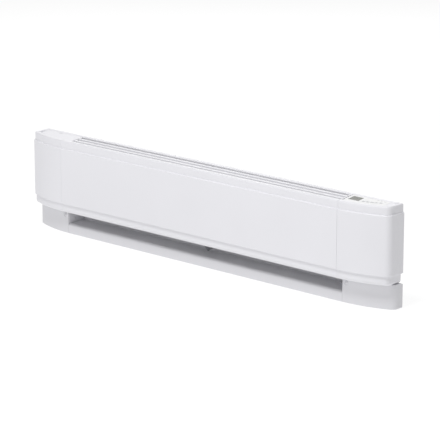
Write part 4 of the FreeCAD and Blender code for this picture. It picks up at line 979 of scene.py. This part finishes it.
def make_display_segments(materials):
    """Two unlit seven-segment digits and a row of bars, just proud of the display's cover."""
    outlines = []
    width, tall, wide = 0.8 * MM, 3.4 * MM, 3.6 * MM
    middle = 1.8 * MM
    for digit_x in (-4.6 * MM, 1.6 * MM):
        for row in (-1, 0, 1):
            y = row * tall + middle
            outlines.append(bar_outline(digit_x - wide / 2 + width, y, digit_x + wide / 2 - width, y, width))
        for column in (-1, 1):
            x = digit_x + column * wide / 2
            for row in (-1, 0):
                y0 = row * tall + middle
                outlines.append(bar_outline(x, y0 + width, x, y0 + tall - width, width))
    bar_first, bar_pitch, bar_length, bar_y = -8.6, 2.9, 2.0 * MM, -5.4 * MM
    for k in range(6):
        x = (bar_first + bar_pitch * k) * MM
        outlines.append(bar_outline(x, bar_y, x + bar_length, bar_y, width))
    side_x, side_low, side_high = 7.6 * MM, -1.4 * MM, 5.2 * MM
    outlines.append(bar_outline(side_x, side_low, side_x, side_high, 0.7 * MM))
    piece = strokes_piece(
        outlines, (LCD_X, LCD_Y), 0.0, DECK_Z - INK_SUNK, DECK_Z + 0.02 * MM, "display_segments",
        materials["display_segment"],
    )
    own(piece, "display_cover")


def make_overlay_print(materials):
    """Plain printed marks beside the buttons."""
    outlines = []
    stroke = 0.8 * MM
    # Left end, distance from the wall and length of each mark, in millimetres.
    for x, from_wall, length in ((450, 13.1, 4), (459, 13.7, 5), (469, 15.3, 5)):
        y = WALL_Y - from_wall * MM
        outlines.append(bar_outline(x * MM, y, (x + length) * MM, y, stroke))
    top = DECK_Z + OVERLAY_SHEET
    piece = strokes_piece(
        outlines, (0, 0), 0.0, top - INK_SUNK, top + 0.03 * MM, "overlay_print", materials["print_ink"]
    )
    own(piece, "overlay_film")


# ---------------------------------------------------------------- ownership and finishes


def own(piece, slot, *replaced):
    """The piece belongs to the heater's body and stands for CAD nodes. slot is not used."""
    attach(piece, BODY)
    if replaced:
        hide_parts(*replaced)
    return piece


CAD_FINISH = {
    "knockout_slugs": "enamel_white",
    "right_bulkhead": "enamel_white",
    "left_bulkhead": "enamel_white",
    "right_end_bracket": "galvanised",
    "left_end_bracket": "galvanised",
    "blade_combs": "enamel_white",
    "left_deck_cover": "moulded_white",
    "control_panel": "moulded_white",
    "control_overlay": "overlay_film",
    "lcd_window": "display_cover",
    "lcd_glass": "display_glass",
    "lcd_frame": "dark_plastic",
    "tact_switches": "dark_plastic",
    "control_board": "board_green",
    "board_screws": "zinc_screw",
    "power_relays": "relay_plastic",
    "board_capacitor": "dark_plastic",
    "element_sheath": "sheath_steel",
    "element_pins": "sheath_steel",
    "element_fins": "fin_aluminium",
    "element_bushings": "silicone",
    "element_brackets": "galvanised",
    "centre_bracket": "galvanised",
    "bracket_rivets": "zinc_screw",
    "limit_capillary": "copper_tube",
    "capillary_clips": "galvanised",
    "limit_switch": "high_temp_moulding",
    "rear_reflector": "fin_aluminium",
    "front_baffle": "galvanised",
    "temperature_sensor": "dark_plastic",
    "terminal_block": "high_temp_moulding",
    "terminal_screws": "zinc_screw",
    "ground_screw": "zinc_screw",
    "supply_lead": "lead_black",
    "element_return_lead": "lead_red",
    "element_feed_lead": "lead_red",
    "limit_lead": "lead_black",
    "sensor_lead": "lead_black",
}
CAD_FINISH.update({"button_" + kind: "button_plastic" for kind in BUTTON_KINDS})


def finish_cad_nodes(materials):
    """Gives each CAD node that stays its own procedural finish."""
    for name, finish in CAD_FINISH.items():
        mesh = cad_nodes[name].data
        mesh.materials.clear()
        mesh.materials.append(materials[finish])


# ---------------------------------------------------------------- studio


def make_stage():
    """A plain pale floor."""
    bm = bmesh.new()
    corners = ((-1, -1), (1, -1), (1, 1), (-1, 1))
    bm.faces.new([bm.verts.new((x * FLOOR_REACH, y * FLOOR_REACH, STAGE_Z)) for x, y in corners])
    material, tree, shader = new_material("floor")
    cloud = noise(tree, place(tree), scale=0.8, detail=2.0)
    tree.links.new(tint(tree, cloud, (0.15, 0.15, 0.15), (0.16, 0.16, 0.16)), shader.inputs["Base Color"])
    shader.inputs["Roughness"].default_value = 0.9
    shader.inputs["Specular IOR Level"].default_value = 0.1
    shader.inputs["Emission Color"].default_value = (1, 1, 1, 1)
    shader.inputs["Emission Strength"].default_value = 0.9
    mesh = bpy.data.meshes.new("floor")
    bm.to_mesh(mesh)
    bm.free()
    mesh.materials.append(material)
    floor = bpy.data.objects.new("floor", mesh)
    bpy.context.scene.collection.objects.link(floor)


def area_light(name, azimuth, elevation, distance, size, power):
    """A soft square light that looks at the heater from a direction given like the camera's."""
    data = bpy.data.lights.new(name, "AREA")
    data.shape = "SQUARE"
    data.size = size
    data.energy = power
    light = bpy.data.objects.new(name, data)
    bpy.context.scene.collection.objects.link(light)
    aim_from(light, LIGHT_TARGET, azimuth, elevation, distance)


def aim_from(thing, target, azimuth, elevation, distance):
    """Puts a light or camera at a distance from its target, looking at it."""
    a, e = math.radians(azimuth), math.radians(elevation)
    back = Vector((math.sin(a) * math.cos(e), -math.cos(a) * math.cos(e), math.sin(e)))
    thing.location = target + back * distance
    thing.rotation_mode = "QUATERNION"
    thing.rotation_quaternion = (-back).to_track_quat("-Z", "Y")


def make_studio():
    scene = bpy.context.scene
    scene.view_settings.view_transform = "Standard"
    scene.view_settings.gamma = DISPLAY_GAMMA
    world = bpy.data.worlds.new("studio")
    world.use_nodes = True
    scene.world = world
    background = world.node_tree.nodes["Background"]
    background.inputs["Color"].default_value = (1.0, 1.0, 1.0, 1)
    background.inputs["Strength"].default_value = WORLD_STRENGTH
    area_light("key", azimuth=22, elevation=66, distance=3.0, size=0.7, power=62)
    area_light("front", azimuth=-5, elevation=28, distance=3.5, size=1.6, power=17)
    area_light("back", azimuth=220, elevation=27, distance=3.0, size=2.0, power=24)
    data = bpy.data.cameras.new("camera")
    data.lens = CAMERA_LENS
    data.sensor_width = SENSOR_WIDTH
    data.clip_end = CLIP_END
    camera = bpy.data.objects.new("camera", data)
    scene.collection.objects.link(camera)
    aim_from(camera, CAMERA_TARGET, CAMERA_AZIMUTH, CAMERA_ELEVATION, CAMERA_DISTANCE)
    scene.camera = camera


def build():
    materials = make_materials()
    make_front_panel(materials)
    make_end_caps(materials)
    make_base_caps(materials)
    make_base_tray(materials)
    make_rear_casing(materials)
    make_grille_frame(materials)
    make_louvre_blades(materials)
    make_screws(materials)
    make_button_icons(materials)
    make_display_segments(materials)
    make_overlay_print(materials)
    finish_cad_nodes(materials)
    make_stage()
    make_studio()


build()
